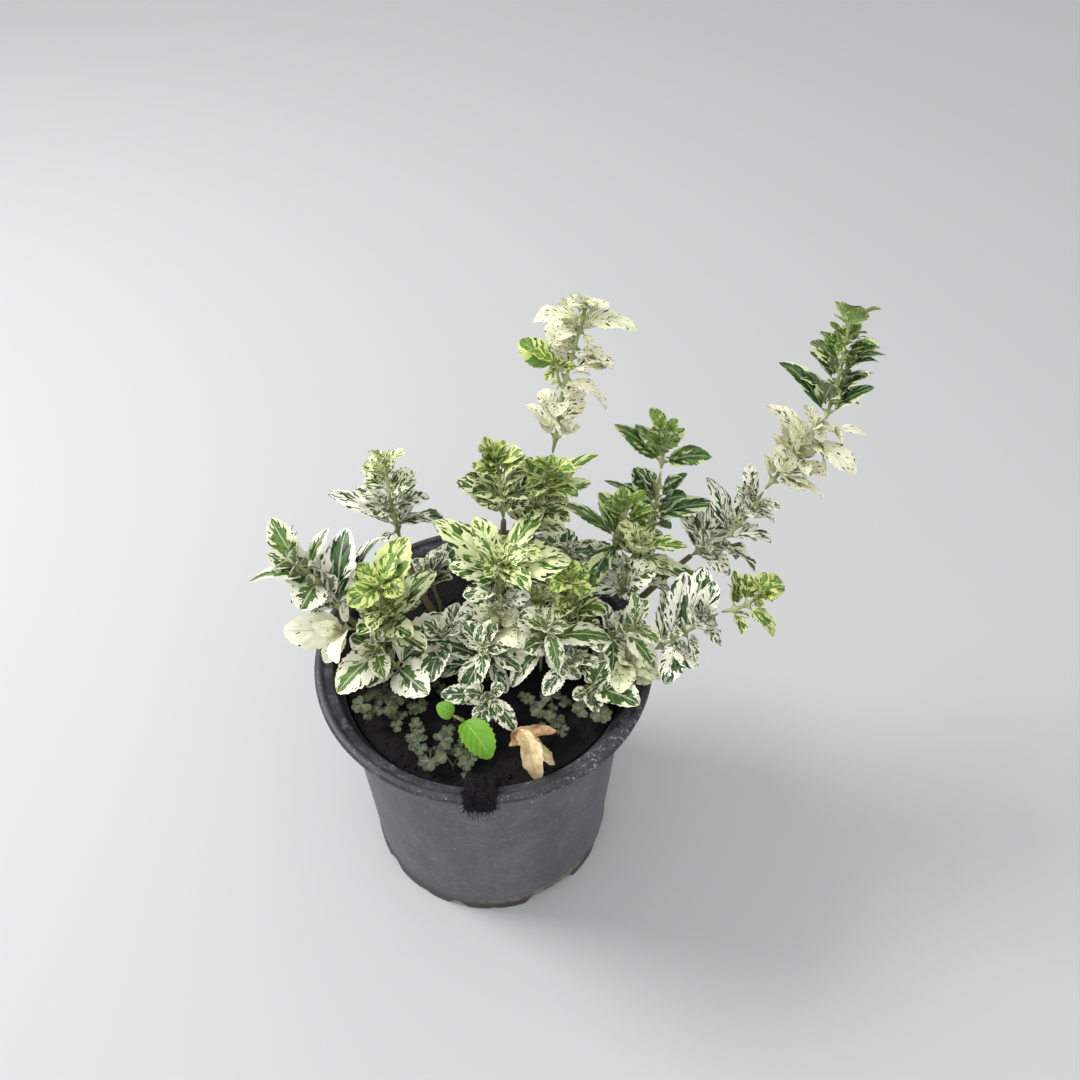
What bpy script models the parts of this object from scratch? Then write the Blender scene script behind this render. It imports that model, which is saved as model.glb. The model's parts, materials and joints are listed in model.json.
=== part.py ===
"""Potted euonymus: a wintercreeper with cream-edged leaves in a black nursery pot, with clover on the soil.

Metres, Z up, the pot standing on Z = 0 around the Z axis. The front of the plant faces -Y.
"""
import itertools
import math
import random

import bmesh
import bpy
from mathutils import Vector, noise
from mathutils.bvhtree import BVHTree

MM = 0.001
GAP = 0.0003  # clearance between neighbouring pieces
SHARP_ANGLE = math.radians(40)

# Pot
POT_RADIUS = 0.085  # outer edge of the rim
POT_HEIGHT = 0.152
RIM_BAND = 0.0098  # width of the rim, outer edge to inner edge
LIP_HEIGHT = 0.0040  # depth of the rim at its outer edge
WALL = 0.0016
THROAT = 0.0028  # how much narrower the wall is below the sloping mouth
THROAT_DEPTH = 0.0118  # rim down to the end of the sloping mouth
TAPER = 0.0068  # how much narrower the body is at the foot
FOOT_HEIGHT = 0.0085
FOOT_WIDTH = 0.0030
PAD_RADIUS = 0.040  # raised-floor channel starts outside this flat pad
BODY_TOP_RADIUS = POT_RADIUS - RIM_BAND - THROAT + WALL
BODY_FOOT_RADIUS = BODY_TOP_RADIUS - TAPER
FOOT_RADIUS = BODY_FOOT_RADIUS + 0.0004
CHANNEL_OUT = FOOT_RADIUS - FOOT_WIDTH
FLOOR_TOP = FOOT_HEIGHT + WALL
POT_STEPS = 40
DRAIN_HOLES = 8
DRAIN_RADIUS = 0.0045
# Arches cut through the foot: heading in degrees, width in degrees
NOTCHES = ((-147, 8), (-108.5, 6), (-62, 24), (-20, 22), (22, 8), (58, 24), (100, 8), (140, 24), (178, 8))

# Soil
SOIL_DEPTH = 0.012  # rim down to the soil
TOP_LAYER = 0.0215  # thickness of the looser top layer
SOIL_TOP = POT_HEIGHT - SOIL_DEPTH
LAYER_BOTTOM = SOIL_TOP - TOP_LAYER
SOIL_ROUGH = 0.0016
WELL_DEPTH = 0.020  # how deep the stems stand in the soil
SPILL_THICK = 0.0030
SPILL_FROM = -100.0  # headings of the two ends of the soil lying over the rim
SPILL_TO = -86.0

# Plant. Shoots are laid out in millimetres for a pot of LAYOUT_RADIUS, heights above the soil
LAYOUT_RADIUS = 0.085
SPREAD = POT_RADIUS / LAYOUT_RADIUS
STEM_RADIUS = 0.0023  # woody stems where they leave the soil
STEM_TOP_RADIUS = 0.0015
SHOOT_RADIUS = 0.0010  # green shoots
LEAF_SCALE = 1.0
LEAF_THICK = 0.0004  # half the thickness at the midrib
LEAF_FOLD = 0.30  # rise of the margins for each unit of half width
LEAF_BEND = math.radians(34)
PETIOLE = 0.0026
NODE = 0.0016  # length of stem that carries a pair of leaves
NODE_STEP = 0.0026
CLOVER_LEAFLET = 0.0062

COLOURS = {
    "pot_plastic": (0.030, 0.031, 0.034, 0.55),
    "soil": (0.010, 0.008, 0.007, 0.95),
    "bark": (0.16, 0.13, 0.08, 0.75),
    "clover": (0.10, 0.14, 0.07, 0.70),
    "dry_tan": (0.55, 0.38, 0.20, 0.80),
    "dry_brown": (0.30, 0.15, 0.07, 0.80),
    "leaf_cream": (0.62, 0.62, 0.38, 0.55),
    "leaf_white": (0.75, 0.76, 0.66, 0.55),
    "leaf_lime": (0.38, 0.46, 0.11, 0.55),
    "leaf_green": (0.10, 0.20, 0.06, 0.55),
    "leaf_flecked": (0.30, 0.34, 0.20, 0.55),
    "leaf_margined": (0.30, 0.38, 0.22, 0.55),
    "leaf_dark": (0.06, 0.10, 0.05, 0.55),
    "leaf_sprout": (0.30, 0.52, 0.10, 0.50),
}

# Woody stems: points from the soil upwards
STEMS = {
    "stem_a": [(8, 15, 0), (17, 39, 35), (31, 49, 68), (37, 58, 90)],
    "stem_b": [(60, 12, 0), (86, 24, 25), (105, 26, 48)],
    "stem_c": [(54, -3, 0), (70, -10, 13), (83, -14, 25)],
    "stem_d": [(48, 26, 0), (74, 34, 30), (86, 41, 52)],
    "stem_e": [(-18, 17, 0), (-32, 31, 25), (-40, 45, 48)],
    "stem_w": [(-28, 8, 0), (-52, 3, 20), (-69, 7, 40)],
    "stem_f": [(3, 29, 0), (10, 31, 45), (12, 33, 72)],
}

# Leafy shoots: how each starts ("end" or "side" of its parent, or in the "soil"), its parent, its colouring,
# the points its stem passes through, and its leaves as (place along the shoot, heading and rise in degrees,
# length, width)
SHOOTS = {
    "spray_a1": (
        "end", "stem_a", "cream",
        [(40, 63, 105), (42, 68, 122)],
        [
            (0.3, 135, 35, 22, 8), (0.3, 10, 30, 13, 6), (0.65, -60, -25, 9, 5), (0.9, -105, 15, 16, 9),
        ],
    ),
    "spray_a2": (
        "end", "spray_a1", "cream",
        [(47, 74, 138), (52, 81, 154), (53, 83, 162)],
        [
            (0.15, -40, -15, 25, 10), (0.15, 170, 15, 25, 11), (0.3, 135, 15, 19, 8), (0.3, -10, 5, 19, 9),
            (0.5, -20, -5, 14, 7), (0.5, 180, 15, 10, 5), (0.7, -65, -30, 10, 4), (0.7, -150, 5, 14, 6),
            (0.85, 180, 0, 24, 10), (0.85, -20, -5, 25, 11), (0.97, -15, 10, 11, 6),
            (0.97, 135, -5, 11, 5), (0.97, 70, -5, 9, 5),
        ],
    ),
    "spray_a3": (
        "side", "spray_a2", "lime",
        [(40, 72, 130), (39, 72, 136)],
        [
            (0.9, -130, -15, 9, 4), (0.9, -10, 10, 9, 4), (0.95, 70, 15, 7, 3),
        ],
    ),
    "spray_b1": (
        "end", "stem_b", "flecked",
        [(126, 31, 60), (140, 40, 78)],
        [
            (0.08, 115, 35, 24, 9), (0.08, 60, 45, 28, 10), (0.12, 5, 20, 15, 6), (0.12, -65, 30, 12, 6),
            (0.45, 110, 40, 31, 10), (0.45, -25, 15, 22, 13), (0.6, 70, 45, 18, 7), (0.6, -50, 45, 12, 6),
            (0.85, 95, 45, 21, 8), (0.85, -10, 10, 13, 5), (0.8, -30, -5, 13, 5),
        ],
    ),
    "spray_b2": (
        "end", "spray_b1", "cream",
        [(152, 46, 92), (168, 56, 108)],
        [
            (0.15, 110, 55, 14, 7), (0.35, 120, 55, 18, 9), (0.35, -20, 5, 21, 8), (0.45, 100, 75, 21, 10),
            (0.5, -80, 0, 13, 6), (0.75, 140, 20, 27, 10), (0.75, -45, -10, 28, 13),
            (0.92, -25, 15, 24, 7), (0.92, -90, 0, 11, 5),
        ],
    ),
    "spray_b3": (
        "end", "spray_b2", "green",
        [(175, 70, 124), (181, 88, 144)],
        [
            (0.08, 0, 40, 24, 11), (0.08, 135, 30, 34, 10), (0.25, 160, 0, 18, 7), (0.4, 135, 30, 19, 7),
            (0.4, -40, 40, 17, 8), (0.6, 145, 30, 16, 7), (0.6, -15, 20, 20, 9), (0.8, -30, 10, 14, 7),
            (0.8, -125, -10, 11, 5), (0.95, -125, 80, 16, 14),
        ],
    ),
    "spray_c1": (
        "end", "stem_c", "flecked",
        [(99, -13, 38), (113, -11, 48)],
        [
            (0.1, 80, 40, 28, 9), (0.3, 70, 40, 33, 12), (0.3, -110, -25, 22, 10), (0.5, 60, 40, 35, 11),
            (0.5, -65, -30, 13, 5), (0.75, 55, 40, 22, 8), (0.75, -45, -20, 14, 5),
        ],
    ),
    "spray_c2": (
        "end", "spray_c1", "lime",
        [(124, -13, 55), (132, -11, 64)],
        [
            (0.3, 85, 45, 18, 8), (0.3, -85, 0, 14, 6), (0.6, -60, -5, 20, 8), (0.6, 80, 20, 15, 7),
            (0.9, -15, 30, 10, 6), (0.95, 45, 55, 12, 6), (0.9, -95, 5, 9, 4),
        ],
    ),
    "spray_d1": (
        "end", "stem_d", "green",
        [(89, 48, 66), (91, 55, 80)],
        [
            (0.25, 145, 25, 31, 7), (0.25, 0, 15, 32, 12), (0.6, 25, 35, 19, 6), (0.6, 125, 35, 18, 6),
            (0.15, -60, 25, 14, 7),
        ],
    ),
    "spray_d2": (
        "end", "spray_d1", "green",
        [(92, 59, 93), (93, 61, 104)],
        [
            (0.2, 145, 25, 30, 10), (0.2, -5, 10, 24, 12), (0.6, 160, 35, 10, 6), (0.6, -55, 35, 9, 4),
            (0.9, 25, 70, 10, 6),
        ],
    ),
    "spray_e1": (
        "end", "stem_e", "flecked",
        [(-43, 51, 63), (-44, 56, 76), (-45, 63, 90)],
        [
            (0.2, 165, 25, 37, 8), (0.2, 0, 5, 26, 9), (0.35, 20, 15, 21, 8), (0.35, 160, 30, 22, 9),
            (0.12, -125, 10, 12, 5), (0.75, 105, 0, 21, 11), (0.75, 0, 35, 10, 6), (0.95, 75, -10, 11, 5),
        ],
    ),
    "spray_e2": (
        "end", "stem_w", "margined",
        [(-78, 15, 54), (-86, 18, 60), (-91, 20, 64)],
        [
            (0.08, 80, 45, 40, 14), (0.08, 50, 30, 40, 11), (0.3, 155, 30, 35, 17), (0.3, 10, 10, 20, 11),
            (0.45, 50, 30, 25, 12), (0.5, -110, 5, 20, 14), (0.75, -160, 0, 29, 11), (0.75, 55, 35, 23, 7),
            (0.95, 130, 45, 25, 11),
        ],
    ),
    "spray_e3": (
        "side", "stem_w", "white",
        [(-66, 1, 34), (-72, -3, 34)],
        [
            (0.6, -170, 10, 30, 19), (0.6, 90, 40, 14, 5), (0.9, -110, -35, 14, 5),
        ],
    ),
    "spray_e4": (
        "side", "stem_w", "lime",
        [(-48, 3, 32), (-48, 8, 46), (-48, 10, 58)],
        [
            (0.3, 40, 25, 37, 11), (0.3, -45, 25, 21, 11), (0.55, -105, 10, 16, 9), (0.8, 60, 40, 31, 15),
            (0.8, 155, 30, 21, 9), (0.95, -140, 5, 19, 12), (0.95, -30, 10, 13, 9),
        ],
    ),
    "spray_e5": (
        "soil", "", "margined",
        [(-43, -4, 4), (-45, -5, 10), (-49, -1, 18), (-55, -4, 24)],
        [
            (0.25, 30, 25, 40, 19), (0.3, -55, 15, 30, 16), (0.8, -140, -15, 31, 15), (0.8, 85, 0, 16, 9),
            (0.9, -75, -35, 17, 9),
        ],
    ),
    "spray_f1": (
        "end", "stem_f", "lime",
        [(11, 39, 90), (9, 44, 108)],
        [
            (0.3, 150, 25, 21, 11), (0.3, 30, 30, 20, 10), (0.15, -10, 35, 15, 8), (0.15, 175, 35, 15, 8),
            (0.7, 115, 55, 19, 8), (0.7, 45, 50, 12, 5), (0.95, 90, -5, 9, 5),
        ],
    ),
    "spray_f2": (
        "side", "stem_f", "lime",
        [(25, 39, 65), (31, 39, 85), (35, 41, 100)],
        [
            (0.55, -110, 15, 16, 10), (0.55, 10, 15, 28, 8), (0.75, 140, 30, 22, 7), (0.75, 15, 25, 31, 7),
            (0.95, 110, 0, 12, 6), (0.95, 75, 5, 11, 6), (0.9, -145, 0, 11, 8),
        ],
    ),
    "spray_f3": (
        "side", "stem_f", "flecked",
        [(8, 11, 32), (9, 12, 52), (9, 12, 65)],
        [
            (0.5, -170, 40, 22, 12), (0.5, -5, 20, 16, 8), (0.75, 165, 15, 26, 12), (0.75, -5, 5, 30, 12),
            (0.9, 150, 30, 40, 15), (0.9, 5, 10, 36, 18), (0.97, 120, 40, 27, 10), (0.97, 45, 35, 36, 9),
            (0.97, -75, 15, 10, 9),
        ],
    ),
    "spray_f4": (
        "soil", "", "lime",
        [(42, 6, 4), (43, 5, 35), (43, 5, 50), (42, 6, 60)],
        [
            (0.9, 170, 15, 10, 8), (0.9, 20, 30, 11, 8), (0.97, 85, 20, 11, 7), (0.97, -40, -25, 11, 7),
            (0.8, -135, 0, 10, 7),
        ],
    ),
    "spray_f5": (
        "soil", "", "cream",
        [(2, 1, 4), (3, 0, 20), (6, 3, 32), (8, 6, 40)],
        [
            (0.5, -20, 5, 18, 10), (0.5, 150, 25, 17, 8), (0.8, 0, 15, 13, 9), (0.8, 130, 30, 16, 8),
            (0.97, 65, 20, 12, 7), (0.97, -95, -5, 9, 7),
        ],
    ),
    "spray_g1": (
        "side", "stem_b", "flecked",
        [(70, 19, 32), (77, 26, 46), (81, 27, 60)],
        [
            (0.5, 140, 30, 26, 10), (0.5, -20, -5, 25, 10), (0.75, 100, 10, 21, 9),
            (0.75, -30, -10, 36, 12), (0.95, 65, 10, 17, 9), (0.95, -10, 5, 22, 9), (0.4, 160, 10, 18, 8),
        ],
    ),
    "spray_g2": (
        "side", "stem_d", "green",
        [(66, 32, 40), (71, 39, 58), (75, 43, 72)],
        [
            (0.55, 155, 20, 36, 10), (0.5, -125, -35, 31, 10), (0.8, 80, 45, 16, 9), (0.75, 5, 20, 19, 9),
            (0.95, 55, 0, 11, 7),
        ],
    ),
    "spray_h1": (
        "soil", "", "dark",
        [(1, -9, 4), (1, -7, 18), (0, -9, 28)],
        [
            (0.5, 170, 15, 27, 9), (0.5, 0, 10, 22, 9), (0.45, -170, -5, 25, 9), (0.45, -60, -30, 19, 7),
            (0.8, -125, -30, 24, 10), (0.8, -30, -15, 20, 7), (0.95, 135, 30, 17, 7), (0.95, 5, 10, 13, 6),
        ],
    ),
    "spray_h2": (
        "soil", "", "margined",
        [(28, -5, 4), (29, -5, 25), (30, -6, 38)],
        [
            (0.5, -135, -25, 25, 8), (0.5, -35, -15, 25, 9), (0.75, 145, 40, 17, 13),
            (0.75, -5, 5, 34, 11), (0.95, 100, 20, 14, 8), (0.95, -75, -35, 21, 8),
        ],
    ),
    "spray_j": (
        "soil", "", "margined",
        [(47, 1, 4), (48, -1, 10), (62, -4, 25), (76, -7, 36)],
        [
            (0.35, -55, -25, 24, 8), (0.35, 105, 35, 19, 8), (0.65, -95, -15, 19, 9),
            (0.65, 110, 45, 18, 8), (0.85, -50, -25, 24, 10), (0.85, 35, 30, 19, 9),
            (0.97, -30, -10, 14, 8),
        ],
    ),
    "spray_k": (
        "soil", "", "dark",
        [(37, -16, 4), (40, -14, 15), (42, -13, 22)],
        [
            (0.7, -135, -25, 18, 8), (0.7, -10, 0, 19, 7), (0.95, 100, 15, 9, 6), (0.95, -70, -30, 17, 6),
        ],
    ),
    "spray_l": (
        "soil", "", "dark",
        [(47, -21, 4), (50, -21, 8), (53, -29, 12)],
        [
            (0.8, -70, 20, 16, 8), (0.8, -155, -10, 10, 6),
        ],
    ),
    "spray_m": (
        "soil", "", "sprout",
        [(-16, -32, 4), (-14, -37, 9), (-12, -42, 12)],
        [
            (0.75, 155, 30, 12, 9), (0.85, -55, -25, 25, 16),
        ],
    ),
    "spray_n": (
        "soil", "", "dark",
        [(-6, -24, 4), (-1, -27, 12), (2, -33, 16)],
        [
            (0.8, -50, -25, 22, 8), (0.5, 175, 5, 20, 8), (0.8, 5, 20, 10, 6), (0.5, -65, -30, 13, 6),
        ],
    ),
    "spray_o": (
        "soil", "", "dark",
        [(-22, 36, 4), (-27, 41, 20), (-32, 42, 28)],
        [
            (0.6, 50, 35, 27, 11), (0.6, 130, 45, 17, 10), (0.9, -125, 10, 14, 8), (0.9, 40, 30, 15, 8),
        ],
    ),
    "spray_p": (
        "soil", "", "flecked",
        [(20, 4, 4), (24, 8, 20), (27, 12, 38)],
        [
            (0.45, 150, 20, 24, 12), (0.45, -30, 10, 26, 12), (0.70, -110, 15, 22, 11),
            (0.70, 60, 35, 24, 11), (0.95, 170, 40, 16, 8), (0.95, -10, 40, 16, 8),
        ],
    ),
    "spray_q": (
        "soil", "", "dark",
        [(-14, -4, 4), (-17, -2, 14), (-20, 1, 26)],
        [
            (0.45, 160, 10, 24, 12), (0.45, -20, 15, 22, 11), (0.75, -110, 5, 24, 12),
            (0.75, 70, 30, 22, 10), (0.95, 150, 40, 14, 8), (0.95, -40, 40, 14, 8),
        ],
    ),
    "spray_r": (
        "soil", "", "cream",
        [(62, -11, 4), (67, -14, 12), (71, -15, 20)],
        [
            (0.45, 200, 10, 20, 11), (0.45, 20, 20, 20, 10), (0.75, -100, 0, 22, 12),
            (0.75, 80, 30, 20, 10), (0.95, 0, 30, 16, 9), (0.95, 180, 35, 14, 8),
        ],
    ),
    "spray_s": (
        "soil", "", "dark",
        [(36, 30, 4), (40, 34, 24), (44, 38, 44)],
        [
            (0.40, 170, 10, 26, 13), (0.40, -20, 10, 24, 12), (0.68, -100, 15, 24, 12),
            (0.68, 80, 30, 24, 11), (0.95, 160, 30, 18, 9), (0.95, -20, 30, 18, 9),
        ],
    ),
}

# Clover clumps: place across and back, then the height, heading and reach of each three-part leaf
CLOVERS = {
    "clover_front_left": (-27, -52, [(7, 150, 6), (9, 20, 5), (6, 265, 6)]),
    "clover_far_left": (-54, -27, [(8, 100, 5), (15, 215, 6), (10, 340, 6)]),
    "clover_left": (-36, -23, [(7, 180, 6), (9, 60, 6), (6, 300, 5)]),
    "clover_front": (-17, -60, [(6, 60, 5), (8, 130, 4)]),
    "clover_middle": (33, -34, [(8, 100, 6), (6, 270, 5), (9, 190, 6)]),
    "clover_right": (51, -37, [(10, 170, 4), (15, 300, 6), (6, 60, 5)]),
    "clover_rim": (61, -22, [(9, 250, 6), (15, 340, 7), (10, 110, 5)]),
}

# Fallen leaves: start, heading, length, width, colour, seed
FALLEN = {
    "dry_leaf_brown": (12, -48, 2, 22, 8, "dry_brown", 4),
    "dry_leaf_tan": (17, -52, -63, 22, 14, "dry_tan", 9),
}


# ---------------------------------------------------------------- basics

def clear_scene():
    for obj in list(bpy.data.objects):
        bpy.data.objects.remove(obj, do_unlink=True)


def material(name):
    made = bpy.data.materials.get(name)
    if made:
        return made
    red, green, blue, rough = COLOURS[name]
    made = bpy.data.materials.new(name)
    made.use_nodes = True
    shader = made.node_tree.nodes["Principled BSDF"]
    shader.inputs["Base Color"].default_value = (red, green, blue, 1.0)
    shader.inputs["Roughness"].default_value = rough
    return made


def make_object(name, bm, material_name):
    bmesh.ops.recalc_face_normals(bm, faces=bm.faces)
    mesh = bpy.data.meshes.new(name)
    bm.to_mesh(mesh)
    bm.free()
    mesh.shade_smooth()
    mesh.set_sharp_from_angle(angle=SHARP_ANGLE)
    obj = bpy.data.objects.new(name, mesh)
    obj.data.materials.append(material(material_name))
    bpy.context.scene.collection.objects.link(obj)
    return obj


def cut(obj, cutter):
    """Boolean difference with a helper that is kept out of renders."""
    cutter.hide_render = True
    cutter.display_type = "WIRE"
    modifier = obj.modifiers.new("cut", "BOOLEAN")
    modifier.operation = "DIFFERENCE"
    modifier.solver = "EXACT"
    modifier.object = cutter


def laid_out(point):
    """A layout point (millimetres, height above the soil) as metres in the scene."""
    x, y, height = point
    return Vector((x * MM * SPREAD, y * MM * SPREAD, SOIL_TOP + height * MM))


def compass(heading, rise):
    """Unit vector from a heading and a rise in degrees."""
    turn = math.radians(heading)
    lift = math.radians(rise)
    return Vector((math.cos(turn) * math.cos(lift), math.sin(turn) * math.cos(lift), math.sin(lift)))


def evaluated_tree(obj):
    return BVHTree.FromObject(obj, bpy.context.evaluated_depsgraph_get())


# ---------------------------------------------------------------- pot and soil

def spin_profile(bm, profile, steps):
    """Turn a profile of (radius, height) once around Z."""
    verts = [bm.verts.new((radius, 0.0, height)) for radius, height in profile]
    edges = [bm.edges.new(pair) for pair in zip(verts, verts[1:])]
    bmesh.ops.spin(
        bm,
        geom=verts + edges,
        cent=(0.0, 0.0, 0.0),
        axis=(0.0, 0.0, 1.0),
        angle=math.tau,
        steps=steps,
        use_merge=True,
    )
    bmesh.ops.remove_doubles(bm, verts=bm.verts, dist=1e-6)


def inner_radius(height):
    """Inside radius of the pot at a height."""
    share = (height - FOOT_HEIGHT) / (POT_HEIGHT - FOOT_HEIGHT)
    return BODY_FOOT_RADIUS + TAPER * share - WALL


def outer_radius(height):
    return inner_radius(height) + WALL


def pot_profile():
    rim = POT_HEIGHT
    edge = POT_RADIUS
    inner = POT_RADIUS - RIM_BAND
    under = rim - LIP_HEIGHT
    ledge = rim - 0.0100
    inside_low = FLOOR_TOP + 0.0022
    return [
        (0.0, 0.0),
        (PAD_RADIUS, 0.0),
        (PAD_RADIUS + 0.0030, FOOT_HEIGHT),
        (CHANNEL_OUT - 0.0015, FOOT_HEIGHT),
        (CHANNEL_OUT, 0.0),
        (FOOT_RADIUS, 0.0),
        (FOOT_RADIUS + 0.0002, FOOT_HEIGHT - 0.0005),
        (outer_radius(FOOT_HEIGHT) - 0.0003, FOOT_HEIGHT + 0.0006),
        (outer_radius(FOOT_HEIGHT + 0.0045), FOOT_HEIGHT + 0.0045),
        (outer_radius(ledge), ledge),
        (outer_radius(ledge) + 0.0006, ledge + 0.0012),
        (inner + WALL + 0.0006, under - 0.0010),
        (edge - 0.0016, under),
        (edge - 0.0003, under + 0.0006),
        (edge, under + 0.0018),
        (edge - 0.0005, rim - 0.0010),
        (edge - 0.0019, rim - 0.0002),
        (edge - 0.0030, rim),
        (edge - 0.0041, rim - 0.0004),
        (edge - 0.0052, rim - 0.0014),
        (inner + 0.0014, rim - 0.0024),
        (inner + 0.0003, rim - 0.0031),
        (inner - 0.0003, rim - 0.0050),
        (inner_radius(rim - THROAT_DEPTH), rim - THROAT_DEPTH),
        (inner_radius(inside_low), inside_low),
        (inner_radius(inside_low) - 0.0024, FLOOR_TOP),
        (PAD_RADIUS + 0.0042, FLOOR_TOP),
        (PAD_RADIUS + 0.0010, WALL),
        (0.0, WALL),
    ]


def add_block(bm, heading, width_degrees):
    """Arch cutter through the foot at a heading."""
    middle = (FOOT_RADIUS + CHANNEL_OUT) / 2
    across = 2 * middle * math.sin(math.radians(width_degrees) / 2)
    deep = FOOT_WIDTH * 3
    made = bmesh.ops.create_cube(bm, size=1.0)["verts"]
    bmesh.ops.scale(bm, verts=made, vec=(deep, across, 2 * FOOT_HEIGHT - 0.0016))
    top = [vert for vert in made if vert.co.z > 0]
    bmesh.ops.scale(bm, verts=top, vec=(1.0, 0.6, 1.0))
    bmesh.ops.translate(bm, verts=made, vec=(middle, 0.0, 0.0))
    turn_about_z(made, heading)


def turn_about_z(verts, heading):
    turn = math.radians(heading)
    for vert in verts:
        x, y, z = vert.co
        vert.co = (x * math.cos(turn) - y * math.sin(turn), x * math.sin(turn) + y * math.cos(turn), z)


def add_drain(bm, heading):
    middle = (PAD_RADIUS + 0.0042 + CHANNEL_OUT) / 2
    made = bmesh.ops.create_cone(
        bm, cap_ends=True, segments=12, radius1=DRAIN_RADIUS, radius2=DRAIN_RADIUS, depth=4 * WALL
    )["verts"]
    bmesh.ops.translate(bm, verts=made, vec=(middle, 0.0, FOOT_HEIGHT + WALL / 2))
    turn_about_z(made, heading)


def build_pot():
    bm = bmesh.new()
    spin_profile(bm, pot_profile(), POT_STEPS)
    pot = make_object("pot", bm, "pot_plastic")
    bm = bmesh.new()
    for heading, width in NOTCHES:
        add_block(bm, heading, width)
    for index in range(DRAIN_HOLES):
        add_drain(bm, 360.0 * index / DRAIN_HOLES + 5.0)
    cut(pot, make_object("pot_cutter", bm, "pot_plastic"))
    return pot


def build_root_ball():
    top = LAYER_BOTTOM - GAP
    low = FLOOR_TOP + GAP
    bend = FLOOR_TOP + 0.0022 + GAP
    profile = [
        (0.0, WALL + GAP),
        (PAD_RADIUS + 0.0008, WALL + GAP),
        (PAD_RADIUS + 0.0042, low),
        (inner_radius(bend) - 0.0026 - GAP, low),
        (inner_radius(bend) - GAP, bend + 0.0004),
        (inner_radius(top) - GAP, top),
        (0.0, top),
    ]
    bm = bmesh.new()
    spin_profile(bm, profile, 24)
    return make_object("root_ball", bm, "soil")


def soil_height(x, y):
    """Uneven surface of the soil, lower towards the wall."""
    wave = noise.noise(Vector((x * 55.0, y * 55.0, 3.1)))
    fine = noise.noise(Vector((x * 150.0, y * 150.0, 7.7)))
    reach = math.hypot(x, y) / inner_radius(SOIL_TOP)
    return SOIL_TOP + SOIL_ROUGH * (wave + 0.4 * fine) + 0.0010 - 0.0028 * reach ** 3


def build_soil(wells):
    edge_top = SOIL_TOP - 0.0015
    outer_low = inner_radius(LAYER_BOTTOM) - GAP
    outer_top = inner_radius(edge_top) - GAP
    rings = [0.0, 0.16, 0.32, 0.48, 0.64, 0.80, 0.93]
    profile = [(0.0, LAYER_BOTTOM), (outer_low, LAYER_BOTTOM), (outer_top, edge_top)]
    profile += [(outer_top * share, SOIL_TOP + 0.001) for share in reversed(rings)]
    bm = bmesh.new()
    spin_profile(bm, profile, 28)
    for vert in bm.verts:
        if vert.co.z > SOIL_TOP:
            vert.co.z = soil_height(vert.co.x, vert.co.y)
    soil = make_object("potting_soil", bm, "soil")
    bm = bmesh.new()
    for place, radius in wells:
        add_well(bm, place, radius)
    cut(soil, make_object("soil_cutter", bm, "soil"))
    return soil


def add_well(bm, place, radius):
    depth = WELL_DEPTH + 0.010
    made = bmesh.ops.create_cone(
        bm, cap_ends=True, segments=8, radius1=radius, radius2=radius, depth=depth
    )["verts"]
    low = SOIL_TOP - WELL_DEPTH
    bmesh.ops.translate(bm, verts=made, vec=(place.x, place.y, low + depth / 2))


def spill_section(lump):
    """Cross-section of the soil lying over the rim, as (radius, height) pairs."""
    rim = POT_HEIGHT
    thick = SPILL_THICK * lump
    inner = POT_RADIUS - RIM_BAND
    near = GAP * 0.7 + POT_RADIUS * (1 - math.cos(math.pi / POT_STEPS))
    under = [
        (inner - 0.0080, rim - 0.0088),
        (inner - 0.0012, rim - 0.0050 + near),
        (inner + 0.0012, rim - 0.0024 + near * 1.6),
        (POT_RADIUS - 0.0052, rim - 0.0014 + near * 1.4),
        (POT_RADIUS - 0.0030, rim + near),
        (POT_RADIUS - 0.0012, rim - 0.0003 + near),
        (POT_RADIUS + near, rim - 0.0012),
        (POT_RADIUS + near * 1.4, rim - 0.0052 - 0.0008 * lump),
    ]
    over = [
        (POT_RADIUS + 0.7 * thick, rim - 0.0048),
        (POT_RADIUS + 0.8 * thick, rim - 0.0010),
        (POT_RADIUS - 0.0012, rim + 0.9 * thick),
        (POT_RADIUS - 0.0050, rim + 0.9 * thick),
        (inner + 0.0005, rim - 0.0010 + thick),
        (inner - 0.0060, rim - 0.0070 + thick),
    ]
    return under + over


def build_spill(random_source):
    bm = bmesh.new()
    count = 9
    rings = []
    for index in range(count):
        heading = SPILL_FROM + (SPILL_TO - SPILL_FROM) * index / (count - 1)
        ends = 0.55 if index in (0, count - 1) else 1.0
        lump = ends * random_source.uniform(0.75, 1.25)
        turn = math.radians(heading)
        section = spill_section(lump)
        rings.append([Vector((r * math.cos(turn), r * math.sin(turn), z)) for r, z in section])
    first = [bm.verts.new(point) for point in rings[0]]
    face = bm.faces.new(first)
    for ring in rings[1:]:
        face = extrude_to(bm, face, ring)
    bm.faces.new(list(reversed(first)))
    return make_object("soil_spill", bm, "soil")


# ---------------------------------------------------------------- stems

def extrude_to(bm, face, ring):
    """Extrude one face and move its corners onto a ring of points."""
    grown = bmesh.ops.extrude_discrete_faces(bm, faces=[face])["faces"][0]
    for vert, point in zip(grown.verts, ring):
        vert.co = point
    return grown


def curve_point(points, share):
    """Smooth curve through points, share 0 to 1."""
    spans = len(points) - 1
    place = min(max(share, 0.0), 1.0) * spans
    index = min(int(place), spans - 1)
    step = place - index
    before = points[max(index - 1, 0)]
    start = points[index]
    end = points[index + 1]
    after = points[min(index + 2, spans)]
    flat = end - before
    bend = 2 * before - 5 * start + 4 * end - after
    turn = 3 * start - before - 3 * end + after
    return 0.5 * (2 * start + flat * step + bend * step ** 2 + turn * step ** 3)


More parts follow.
